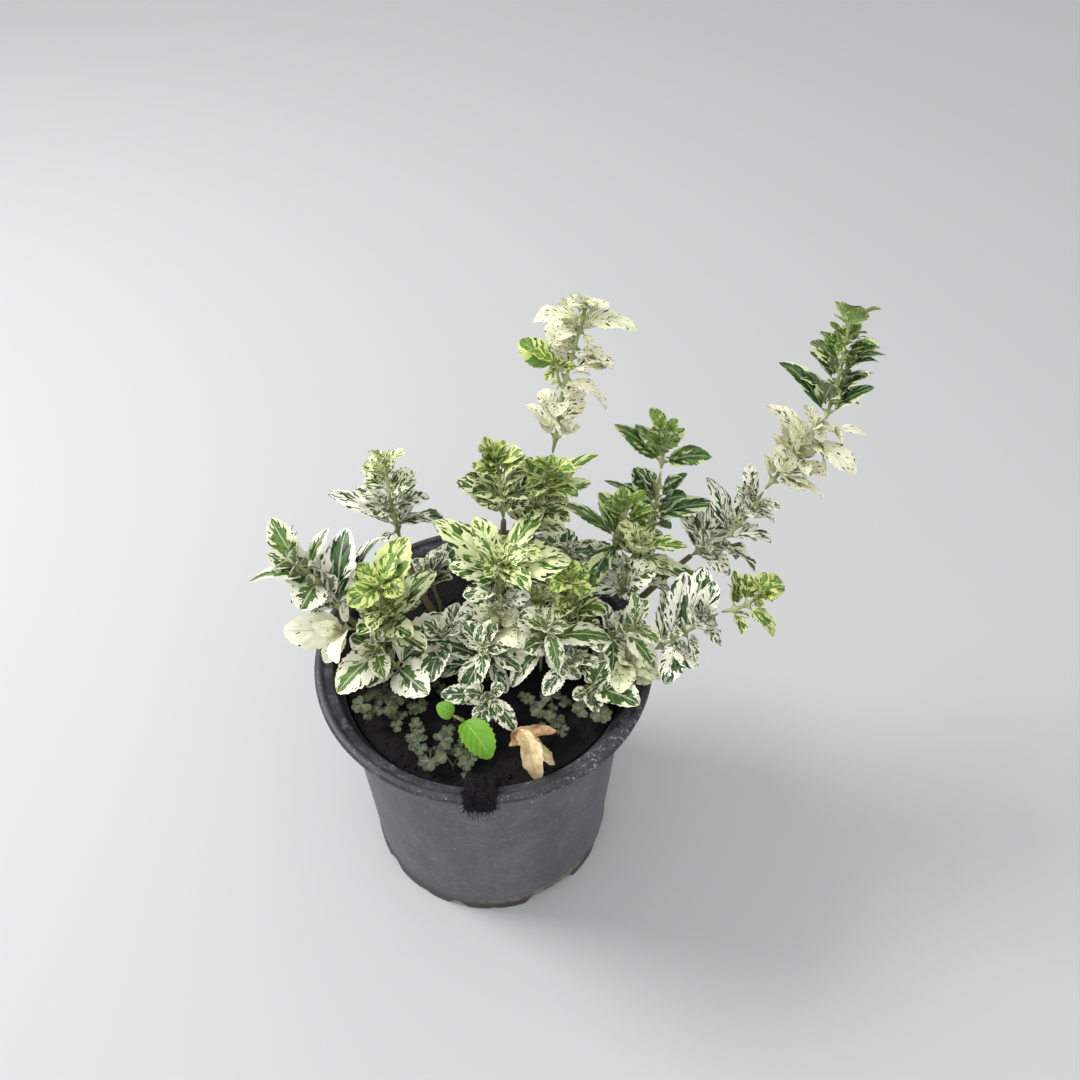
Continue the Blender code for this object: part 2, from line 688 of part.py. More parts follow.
class Path:
    """Curve sampled finely enough to be read by distance."""

    def __init__(self, points):
        self.samples = [curve_point(points, index / 80) for index in range(81)]
        self.marks = [0.0]
        for here, there in zip(self.samples, self.samples[1:]):
            self.marks.append(self.marks[-1] + (there - here).length)
        self.length = self.marks[-1]

    def at(self, distance):
        distance = min(max(distance, 0.0), self.length)
        for index, mark in enumerate(self.marks[1:]):
            if mark >= distance:
                break
        low = self.marks[index]
        high = self.marks[index + 1]
        share = (distance - low) / max(high - low, 1e-9)
        return self.samples[index].lerp(self.samples[index + 1], share)

    def along(self, distance):
        return (self.at(distance + 0.0008) - self.at(distance - 0.0008)).normalized()

    def nearest(self, point):
        return min(range(81), key=lambda index: (self.samples[index] - point).length)


def ring_points(centre, along, side, radius, count):
    """Polygon of points around a centre, square to a direction."""
    side = (side - along * side.dot(along)).normalized()
    other = along.cross(side)
    turns = [math.tau * (index + 0.5) / count for index in range(count)]
    return [centre + radius * (math.cos(turn) * side + math.sin(turn) * other) for turn in turns]


def build_stem(name, points):
    """Woody stem: buried and upright first, then along its points."""
    foot = points[0].copy()
    foot.z = SOIL_TOP - WELL_DEPTH + GAP
    clear = points[0].copy()
    clear.z = SOIL_TOP + 0.0035
    path = Path([clear] + points[1:])
    stops = [path.length * index / 6 for index in range(7)]
    side = Vector((1.0, 0.0, 0.0))
    rings = [ring_points(foot, Vector((0, 0, 1)), side, STEM_RADIUS, 8)]
    for stop_at in stops:
        share = stop_at / path.length
        radius = STEM_RADIUS + (STEM_TOP_RADIUS - STEM_RADIUS) * share
        direction = Vector((0, 0, 1)) if stop_at == 0 else path.along(stop_at)
        rings.append(ring_points(path.at(stop_at), direction, side, radius, 8))
    bm = bmesh.new()
    first = [bm.verts.new(point) for point in rings[0]]
    face = bm.faces.new(first)
    for ring in rings[1:]:
        face = extrude_to(bm, face, ring)
    bm.faces.new(list(reversed(first)))
    make_object(name, bm, "bark")
    return Limb(path, STEM_TOP_RADIUS, STEM_RADIUS, rings)


class Limb:
    """A finished stem that others start from or keep clear of."""

    def __init__(self, path, top_radius, low_radius, rings):
        self.path = path
        self.top_radius = top_radius
        self.low_radius = low_radius
        self.tree = tube_tree(rings)


def tube_tree(rings):
    """Search tree of a tube of rings."""
    count = len(rings[0])
    points = [point for ring in rings for point in ring]
    faces = [tuple(range(count))]
    faces.append(tuple(range(len(points) - count, len(points))))
    for row in range(len(rings) - 1):
        base = row * count
        for index in range(count):
            following = (index + 1) % count
            faces.append((base + index, base + following, base + following + count))
            faces.append((base + index, base + following + count, base + index + count))
    return BVHTree.FromPolygons(points, faces)


# ---------------------------------------------------------------- leaves

class Leaf:
    """One leaf: the sections from its stalk to its point, and what it needs to keep clear."""

    def __init__(self, foot, rings, tip):
        self.foot = foot
        self.rings = rings
        self.tip = tip
        self.centre = (rings[0][0] + tip) / 2
        self.reach = (tip - self.centre).length + 0.008
        self.blade_tree = blade_tree(rings, tip)
        self.foot_tree = blade_tree([foot, rings[0]], None)


def blade_tree(rings, tip):
    """Search tree of a leaf blade."""
    points = [point for ring in rings for point in ring]
    faces = []
    for row in range(len(rings) - 1):
        base = row * 4
        for index in range(4):
            following = (index + 1) % 4
            faces += split_quad(base + index, base + following, base + following + 4, base + index + 4, index)
    if tip is not None:
        points.append(tip)
        base = (len(rings) - 1) * 4
        faces += [(base + index, base + (index + 1) % 4, len(points) - 1) for index in range(4)]
    return BVHTree.FromPolygons(points, faces)


def split_quad(one, two, three, four, index):
    """Two triangles with the diagonal running from the midrib out to the margin."""
    if index % 2 == 0:
        return [(one, two, three), (one, three, four)]
    return [(one, two, four), (two, three, four)]


def leaf_sections(base, outward, direction, upper, length, width, shape, extra=0.0):
    """Sections of a leaf: short stalk, then two full sections and a point."""
    upper = (upper - direction * upper.dot(direction)).normalized()
    across = upper.cross(direction)
    start = base + PETIOLE * (0.6 * outward + 0.8 * direction).normalized()
    stations = shape["stations"]
    rings = []
    here = start
    last = 0.0
    for share, half, thick in stations:
        angle = shape["bend"] * (0.5 - (share + last) / 2)
        step = direction * math.cos(angle) + upper * math.sin(angle)
        here = here + step * (length - PETIOLE) * (share - last)
        angle = shape["bend"] * (0.5 - share)
        top = upper * math.cos(angle) - direction * math.sin(angle)
        wide = half * width + extra
        rings.append(section(here, top, across, wide, LEAF_THICK * thick + extra, shape["fold"]))
        last = share
    angle = shape["bend"] * (0.5 - (1.0 + last) / 2)
    step = direction * math.cos(angle) + upper * math.sin(angle)
    tip = here + step * ((length - PETIOLE) * (1.0 - last) + extra)
    return rings, tip


def section(centre, top, across, half, thick, fold):
    lift = top * (fold * half)
    right = centre + across * half + lift
    left = centre - across * half + lift
    return [centre - top * thick, right, centre + top * thick, left]


def best_turn(corners, ring):
    """Which corner order sits closest to the ring."""
    def cost(turn):
        return sum((corners[(index + turn) % 4] - ring[index]).length_squared for index in range(4))
    return min(range(4), key=cost)


LEAF_SHAPE = {
    "stations": ((0.0, 0.10, 0.9), (0.32, 0.50, 1.0), (0.70, 0.39, 0.8)),
    "bend": LEAF_BEND,
    "fold": LEAF_FOLD,
}
LEAFLET_SHAPE = {
    "stations": ((0.0, 0.10, 0.8), (0.62, 0.52, 0.9)),
    "bend": math.radians(10),
    "fold": 0.18,
}


def grow_leaf(bm, face, leaf):
    """Extrude a leaf out of one side face of a stem."""
    corners = [vert.co for vert in face.verts]
    turn = best_turn(corners, leaf.rings[0])
    back = [(index - turn) % 4 for index in range(4)]
    odd = turn % 2
    end = face
    for ring in leaf.rings:
        end = extrude_to(bm, end, [ring[index] for index in back])
        split_leaf_sides(bm, end, odd)
    tip_face = extrude_to(bm, end, [leaf.tip] * 4)
    bmesh.ops.pointmerge(bm, verts=list(tip_face.verts), merge_co=leaf.tip)


def split_leaf_sides(bm, end, odd):
    verts = list(end.verts)
    for index in range(4):
        one = verts[index]
        two = verts[(index + 1) % 4]
        edge = bm.edges.get((one, two))
        side = [other for other in edge.link_faces if other is not end][0]
        margin = one if (index + odd) % 2 else two
        midrib = two if margin is one else one
        behind = [vert for vert in side.verts if vert not in (one, two)]
        root = [vert for vert in behind if bm.edges.get((vert, midrib))][0]
        bmesh.utils.face_split(side, margin, root)


# ---------------------------------------------------------------- keeping leaves apart

class Space:
    """Everything that leaves have to keep clear of."""

    def __init__(self):
        self.solids = []
        self.limbs = {}
        self.leaves = []

    def free(self, leaf, blown, owner):
        """True when the slightly swollen leaf touches nothing."""
        for solid in self.solids:
            if blown.overlap(solid):
                return False
        for name, limb in self.limbs.items():
            probe = leaf.blade_tree if name == owner else blown
            if probe.overlap(limb.tree):
                return False
            if name != owner and leaf.foot_tree.overlap(limb.tree):
                return False
        for other in self.leaves:
            if (other.centre - leaf.centre).length > other.reach + leaf.reach:
                continue
            if blown.overlap(other.blade_tree) or blown.overlap(other.foot_tree):
                return False
            if leaf.foot_tree.overlap(other.blade_tree):
                return False
        return True


def tries():
    """Small changes of heading, rise, roll and size, mildest first."""
    turns = (0, 8, -8, 16, -16, 26, -26)
    rises = (0, 8, -8, 16, -16, 26, -26)
    rolls = (0, 20, -20)
    sizes = (1.0, 0.9, 0.78, 0.64)
    plans = itertools.product(turns, rises, rolls, sizes)

    def cost(plan):
        turn, rise, roll, size = plan
        return abs(turn) / 10 + abs(rise) / 10 + abs(roll) / 25 + (1 - size) * 11

    return [plan for plan in sorted(plans, key=cost) if cost(plan) < 6.5]


TRIES = tries()


def upper_side(direction, along, roll):
    """The way the top of a leaf faces: mostly up, partly towards the tip of its stem."""
    wish = Vector((0.0, -0.25, 1.0)) * 0.75 + along * 0.6
    upper = (wish - direction * wish.dot(direction)).normalized()
    across = upper.cross(direction)
    angle = math.radians(roll)
    return upper * math.cos(angle) + across * math.sin(angle)


def place_leaf(space, owner, corners, outward, along, heading, rise, length, width, tilt):
    """Find the mildest change that lets a leaf fit, or None."""
    base = sum(corners, Vector()) / 4
    for turn, lift, roll, size in TRIES:
        direction = compass(heading + turn, rise + lift)
        if direction.dot(outward) < 0.12:
            direction = (direction + outward * (0.25 - direction.dot(outward))).normalized()
        upper = upper_side(direction, along, tilt + roll)
        long = length * size
        wide = width * (0.3 + 0.7 * size)
        rings, tip = leaf_sections(base, outward, direction, upper, long, wide, LEAF_SHAPE)
        order = best_turn(corners, rings[0])
        foot = [corners[(index + order) % 4] for index in range(4)]
        leaf = Leaf(foot, rings, tip)
        wider, further = leaf_sections(base, outward, direction, upper, long, wide, LEAF_SHAPE, GAP * 1.2)
        if space.free(leaf, blade_tree(wider, further), owner):
            return leaf
    return None


# ---------------------------------------------------------------- leafy shoots

class Shoot:
    """A green stem with the places its leaves grow from."""

    def __init__(self, name, tone, path, start_along, closed_flat):
        self.name = name
        self.tone = tone
        self.path = path
        self.start_along = start_along
        self.closed_flat = closed_flat
        self.rings = []
        self.nodes = []


def shoot_start(mode, parent, points, limbs):
    """First points of a shoot and the direction it leaves in."""
    if mode == "end":
        path = limbs[parent].path
        along = path.along(path.length)
        start = path.at(path.length) + along * GAP
        return [start] + points, along
    if mode == "side":
        limb = limbs[parent]
        index = limb.path.nearest(points[0] - Vector((0.0, 0.0, 0.006)))
        index = min(max(index, 4), 76)
        base = limb.path.samples[index]
        along = limb.path.along(limb.path.marks[index])
        outward = points[0] - base
        outward = (outward - along * outward.dot(along)).normalized()
        share = index / 80
        radius = limb.low_radius + (limb.top_radius - limb.low_radius) * share
        start = base + outward * (radius + GAP)
        return [start, start + outward * 0.0022 + along * 0.0012] + points, outward
    clear = points[0].copy()
    clear.z = SOIL_TOP + 0.0035
    return [clear] + points[1:], Vector((0.0, 0.0, 1.0))


def gather_nodes(shoot, leaves):
    """Group leaf places into pairs with enough stem between them."""
    nodes = []
    reach = shoot.path.length
    for leaf in sorted(leaves, key=lambda item: item[0]):
        place = leaf[0] * (reach - 0.002)
        place = max(place, 0.0024)
        if nodes and (place - nodes[-1][0] < 0.0016 or nodes[-1][0] + NODE_STEP > reach - 0.001):
            if len(nodes[-1][1]) < 4:
                nodes[-1][1].append(leaf)
            continue
        if nodes and place - nodes[-1][0] < NODE_STEP:
            place = nodes[-1][0] + NODE_STEP
        nodes.append([place, [leaf]])
    return [node for node in nodes if node[0] < reach - 0.0009]


def fill_bare(nodes, reach, lowest):
    """Add places for more leaves where the stem would be bare."""
    marks = [lowest] + [node[0] for node in nodes] + [reach]
    extra = []
    for low, high in zip(marks, marks[1:]):
        count = int((high - low) / 0.0075)
        for index in range(count):
            place = low + (high - low) * (index + 1) / (count + 1)
            extra.append([place, []])
    return sorted(nodes + extra, key=lambda node: node[0])


def shoot_rings(shoot, mode):
    """Square rings along the stem, two for each pair of leaves."""
    side = Vector((0.8, -0.6, 0.1)).normalized()
    reach = shoot.path.length
    stops = []
    if mode == "soil":
        foot = shoot.path.at(0.0)
        foot.z = SOIL_TOP - WELL_DEPTH + GAP
        shoot.rings.append(ring_points(foot, Vector((0, 0, 1)), side, SHOOT_RADIUS, 4))
    stops.append((0.0, False))
    last = 0.0
    for node in shoot.nodes:
        low = node[0] - NODE / 2
        if low - last > 0.009:
            stops.append(((low + last) / 2, False))
        stops.append((low, True))
        stops.append((node[0] + NODE / 2, False))
        last = node[0] + NODE / 2
    if shoot.closed_flat:
        stops.append((reach, False))
    for distance, opens in stops:
        along = shoot.start_along if distance == 0.0 else shoot.path.along(distance)
        if opens:
            shoot.places.append(len(shoot.rings))
        taper = 1.0 - 0.2 * distance / reach
        if shoot.closed_flat:
            taper = 1.0
        shoot.rings.append(ring_points(shoot.path.at(distance), along, side, SHOOT_RADIUS * taper, 4))


def bud_point(shoot):
    return sum(shoot.rings[-1], Vector()) / 4 + shoot.path.along(shoot.path.length) * 0.0034


def plan_shoot(name, plan, limbs):
    mode, parent, tone, route, leaves = plan
    points = [laid_out(point) for point in route]
    points, along = shoot_start(mode, parent, points, limbs)
    followed = any(other[1] == name and other[0] == "end" for other in SHOOTS.values())
    shoot = Shoot(name, tone, Path(points), along, followed)
    shoot.mode = mode
    shoot.places = []
    shoot.nodes = gather_nodes(shoot, leaves)
    lowest = 0.010 if mode == "soil" else 0.003
    top = shoot.path.length - (0.004 if followed else 0.001)
    shoot.nodes = fill_bare(shoot.nodes, top, lowest)
    shoot_rings(shoot, mode)
    occupied = list(shoot.rings)
    if not followed:
        occupied.append([bud_point(shoot) + (corner - bud_point(shoot)) * 0.02 for corner in shoot.rings[-1]])
    limbs[name] = Limb(shoot.path, SHOOT_RADIUS, SHOOT_RADIUS, occupied)
    return shoot


def side_faces(shoot, place):
    """The four side faces of a leaf node, as corner lists with their outward directions."""
    low = shoot.rings[place]
    high = shoot.rings[place + 1]
    middle = (sum(low, Vector()) + sum(high, Vector())) / 8
    found = []
    for index in range(4):
        following = (index + 1) % 4
        corners = [low[index], low[following], high[following], high[index]]
        outward = (sum(corners, Vector()) / 4 - middle).normalized()
        found.append((corners, outward))
    return found


def match_sides(sides, leaves):
    """Give each leaf the side face that looks its way."""
    wishes = [compass(leaf[1], leaf[2]) for leaf in leaves]
    best = None
    for order in itertools.permutations(range(4), len(leaves)):
        score = sum(wish.dot(sides[index][1]) for wish, index in zip(wishes, order))
        if best is None or score > best[0]:
            best = (score, order)
    return best[1]


def set_main_leaves(space, shoot):
    """Place the leaves that were laid out by hand."""
    shoot.leaves = []
    shoot.taken = {}
    source = random.Random(shoot.name)
    for number, node in enumerate(shoot.nodes):
        sides = side_faces(shoot, shoot.places[number])
        order = match_sides(sides, node[1])
        for wish, index in zip(node[1], order):
            corners, outward = sides[index]
            along = shoot.path.along(node[0])
            length = wish[3] * MM * LEAF_SCALE
            width = wish[4] * MM * LEAF_SCALE
            tilt = source.uniform(-14, 14)
            leaf = place_leaf(
                space, shoot.name, corners, outward, along, wish[1], wish[2], length, width, tilt
            )
            keep_leaf(space, shoot, number, index, leaf)


def keep_leaf(space, shoot, number, index, leaf):
    if leaf is None:
        return
    space.leaves.append(leaf)
    shoot.leaves.append((number, index, leaf))
    shoot.taken[(number, index)] = leaf


def set_filler_leaves(space, shoot):
    """Fill the free sides of each node with leaves of the usual size."""
    source = random.Random(shoot.name + " filler")
    count = len(shoot.nodes)
    for number, node in enumerate(shoot.nodes):
        sides = side_faces(shoot, shoot.places[number])
        along = shoot.path.along(node[0])
        taken = [index for index in range(4) if (number, index) in shoot.taken]
        wanted = [(index + 2) % 4 for index in taken if (index + 2) % 4 not in taken]
        if not taken:
            wanted = [0, 2] if number % 2 else [1, 3]
        for index in wanted:
            corners, outward = sides[index]
            grown = 1.0 - 0.45 * number / max(count, 2)
            length = source.uniform(19, 28) * grown * MM * LEAF_SCALE
            rise = math.radians(source.uniform(20, 50))
            direction = outward * math.cos(rise) + along * math.sin(rise)
            heading = math.degrees(math.atan2(direction.y, direction.x))
            lift = math.degrees(math.asin(max(-1.0, min(1.0, direction.z))))
            leaf = place_leaf(
                space, shoot.name, corners, outward, along, heading, lift, length, length * 0.50,
                source.uniform(-15, 15),
            )
            keep_leaf(space, shoot, number, index, leaf)


def build_shoot(shoot):
    """Extrude the stem ring by ring, then grow the leaves out of its sides."""
    bm = bmesh.new()
    rows = []
    first = [bm.verts.new(point) for point in shoot.rings[0]]
    face = bm.faces.new(first)
    rows.append(first)
    for ring in shoot.rings[1:]:
        face = extrude_to(bm, face, ring)
        rows.append(list(face.verts))
    bm.faces.new(list(reversed(first)))
    if not shoot.closed_flat:
        bud = bud_point(shoot)
        tip_face = extrude_to(bm, face, [bud] * 4)
        bmesh.ops.pointmerge(bm, verts=list(tip_face.verts), merge_co=bud)
    for number, index, leaf in shoot.leaves:
        place = shoot.places[number]
        following = (index + 1) % 4
        low = rows[place]
        high = rows[place + 1]
        corners = (low[index], low[following], high[following], high[index])
        side = bm.faces.get(corners)
        grow_leaf(bm, side, leaf)
    make_object(shoot.name, bm, "leaf_" + shoot.tone)


# ---------------------------------------------------------------- clover and fallen leaves

def square_side(bm, low, high, index):
    following = (index + 1) % 4
    return bm.faces.get((low[index], low[following], high[following], high[index]))


def build_clover(name, plan, soil_tree):
    x, y, stalks = plan
    place = laid_out((x, y, 30))
    ground = soil_tree.ray_cast(place, Vector((0, 0, -1)))[0].z
    up = Vector((0, 0, 1))
    bm = bmesh.new()
    ahead = Vector((1, 0, 0))
    size = 0.0007
    rows = []
    base = Vector((place.x, place.y, ground + 2 * GAP))
    first = [bm.verts.new(point) for point in ring_points(base, up, ahead, size, 4)]
    face = bm.faces.new(first)
    rows.append(first)
    for number in range(len(stalks)):
        for rise in (0.0010, 0.0022):
            centre = base + up * (rise + 0.0024 * number)
            face = extrude_to(bm, face, ring_points(centre, up, ahead, size, 4))
            rows.append(list(face.verts))
    bm.faces.new(list(reversed(first)))
    for number, (height, heading, reach) in enumerate(stalks):
        wish = compass(heading, 0)
        low = rows[1 + 2 * number]
        high = rows[2 + 2 * number]
        sides = [face_outward(low, high, index) for index in range(4)]
        index = max((i for i in range(4)), key=lambda i: wish.dot(sides[i]))
        side = square_side(bm, low, high, index)
        hub = base + wish * reach * MM * 1.15 + up * height * MM
        grow_trifoliate(bm, side, hub, wish)
    return make_object(name, bm, "clover")


def face_outward(low, high, index):
    following = (index + 1) % 4
    face_centre = (low[index].co + low[following].co + high[following].co + high[index].co) / 4
    middle = sum((vert.co for vert in low + high), Vector()) / 8
    return (face_centre - middle).normalized()


def grow_trifoliate(bm, side, hub, ahead):
    """Thin stalk rising to a hub with three notched leaflets."""
    up = Vector((0, 0, 1))
    start = sum((vert.co for vert in side.verts), Vector()) / 4
    middle = start.lerp(hub, 0.45) + up * -0.0010
    corners = [vert.co.copy() for vert in side.verts]
    out = (hub - start).normalized()
    lean = (out + up).normalized()
    ring_a = aligned(corners, ring_points(middle, out, up.cross(out) + up * 0.01, 0.0005, 4))
    end = extrude_to(bm, side, ring_a)
    ring_b = aligned(ring_a, ring_points(hub - lean * 0.0012, lean, up.cross(out), 0.0005, 4))
    end = extrude_to(bm, end, ring_b)
    low = list(end.verts)
    ring_c = aligned(ring_b, ring_points(hub, up, up.cross(out), 0.0005, 4))
    end = extrude_to(bm, end, ring_c)
    high = list(end.verts)
    bud = hub + up * 0.0006
    tip_face = extrude_to(bm, end, [bud] * 4)
    bmesh.ops.pointmerge(bm, verts=list(tip_face.verts), merge_co=bud)
    sides = [face_outward(low, high, index) for index in range(4)]
    skip = min(range(4), key=lambda i: sides[i].dot(ahead))
    for index in range(4):
        if index == skip:
            continue
        face = square_side(bm, low, high, index)
        centre = sum((vert.co for vert in face.verts), Vector()) / 4
        flat = Vector((sides[index].x, sides[index].y, 0.12)).normalized()
        rings, tip = leaf_sections(
            centre, sides[index], flat, up, CLOVER_LEAFLET, CLOVER_LEAFLET * 0.92, LEAFLET_SHAPE
        )
        grow_leaf(bm, face, Leaf([vert.co.copy() for vert in face.verts], rings, tip))


def aligned(corners, ring):
    """Ring reordered so that it follows the corners it grows from."""
    flipped = list(reversed(ring))
    options = [ring[turn:] + ring[:turn] for turn in range(4)]
    options += [flipped[turn:] + flipped[:turn] for turn in range(4)]
    return min(options, key=lambda option: sum((a - b).length_squared for a, b in zip(corners, option)))


def build_fallen(name, plan, soil_tree):
    """Curled dead leaf lying on the soil."""
    x, y, heading, length, width, colour, seed = plan
    source = random.Random(seed)
    direction = compass(heading, 0)
    across = Vector((0, 0, 1)).cross(direction)
    shares = (0.0, 0.14, 0.30, 0.46, 0.62, 0.78, 0.92)
    halves = (0.06, 0.30, 0.50, 0.46, 0.40, 0.30, 0.14)
    start = laid_out((x, y, 0))
    rings = []
    for share, half in zip(shares, halves):
        centre = start + direction * share * length * MM
        lift = source.uniform(0.0, 0.0016) + 0.0030 * share
        hit = soil_tree.ray_cast(centre + Vector((0, 0, 0.03)), Vector((0, 0, -1)))[0]
        ground = hit.z if hit else POT_HEIGHT
        centre.z = max(ground, SOIL_TOP - 0.001) + 0.0022 + lift
        wide = half * width * MM
        curl = source.uniform(-0.10, 0.30)
        ring = section(centre, Vector((0, 0, 1)), across, wide, 0.00035, curl)
        ring[1] += Vector((0, 0, 1)) * wide * source.uniform(-0.1, 0.3)
        rings.append(ring)
    tip = rings[-1][0] + direction * length * MM * 0.08
    bm = bmesh.new()
    first = [bm.verts.new(point) for point in rings[0]]
    face = bm.faces.new(first)
    for ring in rings[1:]:
        face = extrude_to(bm, face, ring)
        split_leaf_sides(bm, face, 0)
    tip_face = extrude_to(bm, face, [tip] * 4)
    bmesh.ops.pointmerge(bm, verts=list(tip_face.verts), merge_co=tip)
    bm.faces.new(list(reversed(first)))
    return make_object(name, bm, colour)


# ---------------------------------------------------------------- whole plant

def well_list():
    wells = [(laid_out(points[0]), STEM_RADIUS + GAP * 2) for points in STEMS.values()]
    for mode, _, _, route, _ in SHOOTS.values():
        if mode == "soil":
            wells.append((laid_out(route[0]), SHOOT_RADIUS + GAP * 1.8))
    return wells


def main():
    clear_scene()
    space = Space()
    pot = build_pot()
    build_root_ball()
    soil = build_soil(well_list())
    spill = build_spill(random.Random(7))
    bpy.context.view_layer.update()
    soil_tree = evaluated_tree(soil)
    space.solids = [evaluated_tree(pot), soil_tree, evaluated_tree(spill)]
    for name, plan in CLOVERS.items():
        clover = build_clover(name, plan, soil_tree)
        bpy.context.view_layer.update()
        space.solids.append(evaluated_tree(clover))
    for name, plan in FALLEN.items():
        fallen = build_fallen(name, plan, soil_tree)
        bpy.context.view_layer.update()
        space.solids.append(evaluated_tree(fallen))
    for name, points in STEMS.items():
        space.limbs[name] = build_stem(name, [laid_out(point) for point in points])
    shoots = [plan_shoot(name, plan, space.limbs) for name, plan in SHOOTS.items()]
    for shoot in shoots:
        set_main_leaves(space, shoot)
    for shoot in shoots:
        set_filler_leaves(space, shoot)
    for shoot in shoots:
        build_shoot(shoot)


main()
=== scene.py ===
"""Looks of the potted euonymus: toothed variegated leaves on green shoots, bark, soil, clover and a scuffed pot."""
import json
import math
import random

import bmesh
import bpy
from mathutils import Matrix, Vector, noise
from mathutils.bvhtree import BVHTree


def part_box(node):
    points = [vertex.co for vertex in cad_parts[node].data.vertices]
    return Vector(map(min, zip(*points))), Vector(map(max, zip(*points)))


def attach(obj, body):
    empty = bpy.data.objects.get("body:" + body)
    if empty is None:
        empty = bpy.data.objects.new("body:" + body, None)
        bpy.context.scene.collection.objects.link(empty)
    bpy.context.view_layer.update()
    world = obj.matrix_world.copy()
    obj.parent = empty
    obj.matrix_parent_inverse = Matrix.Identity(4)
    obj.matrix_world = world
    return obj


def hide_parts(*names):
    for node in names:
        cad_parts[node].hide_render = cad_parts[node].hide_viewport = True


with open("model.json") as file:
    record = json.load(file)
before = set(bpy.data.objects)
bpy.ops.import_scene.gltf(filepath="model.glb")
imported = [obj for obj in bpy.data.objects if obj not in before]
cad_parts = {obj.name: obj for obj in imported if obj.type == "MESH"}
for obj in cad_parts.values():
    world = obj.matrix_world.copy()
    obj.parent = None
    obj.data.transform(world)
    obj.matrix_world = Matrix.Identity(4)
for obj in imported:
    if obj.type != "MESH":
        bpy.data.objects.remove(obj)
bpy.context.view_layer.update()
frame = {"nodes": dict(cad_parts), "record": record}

NODES = frame["nodes"]
SLOTS = {row["node"]: row["material_slot"] for row in frame["record"]["subparts"]}
UP = Vector((0.0, 0.0, 1.0))

# Leaves
LEAF_ROWS = 9  # faces along a leaf, one tooth on each side of each
SMALL_ROWS = 5
LEAF_COLUMNS = 4
SECTIONS = (0.0, 0.32, 0.70, 1.0)  # where the solids' sections lie along a leaf
SIDE_LEAVES = 0.5
SIDE_TRIES = {"spray_b1": 4, "spray_b2": 4, "spray_b3": 4, "spray_c1": 4, "spray_c2": 5, "spray_a1": 1}
TIP_SIZE = {"spray_b3": 2.3, "spray_c2": 1.4, "spray_d2": 1.2}
NARROWED = {"leaf_sprout": 0.78, "leaf_white": 0.80, "leaf_green": 0.90}
CURLINESS = {"leaf_flecked": 1.7, "leaf_cream": 1.3, "leaf_dark": 1.2, "leaf_sprout": 0.4}
TOOTH = 0.11  # how far a tooth stands out, as a share of the half width
TOOTH_LEAN = 0.022
BLADE_WIDER = 1.16  # blade against its plain solid
STALK_GROWTH = 0.00028

# Blades of the dry leaves: root, tip, width, arch and fold, in shares of the solid's box
TAN_BLADES = (
    ((0.12, 1.08, 0.90), (0.62, -0.06, 0.20), 0.60, 0.0034, 0.75),
    ((0.22, 0.90, 0.70), (1.24, 0.30, 0.40), 0.50, 0.0026, -0.50),
)
BROWN_BLADES = (
    ((-0.04, 0.40, 0.20), (0.98, 0.62, 0.95), 0.36, 0.0020, 0.80),
    ((0.20, 0.35, 0.25), (-0.10, 0.20, 0.30), 0.20, 0.0010, 0.60),
)

# Pot
POT_STEPS = 240
RIM_BAND = 0.0098
LIP_HEIGHT = 0.0040
WALL = 0.0016
THROAT = 0.0028
THROAT_DEPTH = 0.0118
TAPER = 0.0068
FOOT_HEIGHT = 0.0085
FOOT_WIDTH = 0.0030
ARCH_FLANK = 2.4  # half the width of an arch's sloping side, in degrees
# Arches of the foot: heading, width in degrees, height as a share of the foot
ARCHES = (
    (-147, 7, 1.0), (-126, 4, 0.35), (-108.5, 6, 0.75), (-91, 4, 0.22), (-62, 24, 1.0), (-20, 22, 1.0), (22, 8, 1.0),
    (58, 24, 1.0), (78, 4, 0.3), (100, 8, 1.0), (140, 24, 1.0), (162, 4, 0.4), (178, 8, 1.0),
)

# Soil
SOIL_CELLS = 150
CRUMBS = 1500
SPILL_WIDTH = 0.80  # spilled clump against its plain solid
SPILL_HANG = 0.0035
CLOVER_REACH = 0.066
YOUNG_LEAFLET = (0.0024, 0.0036)


# ---------------------------------------------------------------- helpers

def add_piece(name, bm, finish, replaced, smooth=True):
    """Turn a bmesh into a piece that rides on the plant and stands for its CAD nodes."""
    mesh = bpy.data.meshes.new(name)
    bm.to_mesh(mesh)
    bm.free()
    for polygon in mesh.polygons:
        polygon.use_smooth = smooth
    piece = bpy.data.objects.new(name, mesh)
    bpy.context.scene.collection.objects.link(piece)
    piece.data.materials.append(finish)
    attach(piece, "root")
    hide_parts(*replaced)
    return piece


def add_subdivision(piece, levels):
    modifier = piece.modifiers.new("rounding", "SUBSURF")
    modifier.levels = levels
    modifier.render_levels = levels


def joined_copy(node):
    """A CAD piece as one connected mesh."""
    bm = bmesh.new()
    bm.from_mesh(NODES[node].data)
    bmesh.ops.remove_doubles(bm, verts=bm.verts, dist=2e-5)
    bm.normal_update()
    return bm


def spin_profile(bm, profile, steps):
    verts = [bm.verts.new((radius, 0.0, height)) for radius, height in profile]
    edges = [bm.edges.new(pair) for pair in zip(verts, verts[1:])]
    bmesh.ops.spin(
        bm,
        geom=verts + edges,
        cent=(0.0, 0.0, 0.0),
        axis=(0.0, 0.0, 1.0),
        angle=math.tau,
        steps=steps,
        use_merge=True,
    )
    bmesh.ops.remove_doubles(bm, verts=bm.verts, dist=1e-6)
    bmesh.ops.recalc_face_normals(bm, faces=bm.faces)


def polar(radius, heading, height):
    turn = math.radians(heading)
    return Vector((radius * math.cos(turn), radius * math.sin(turn), height))


# ---------------------------------------------------------------- shader helpers

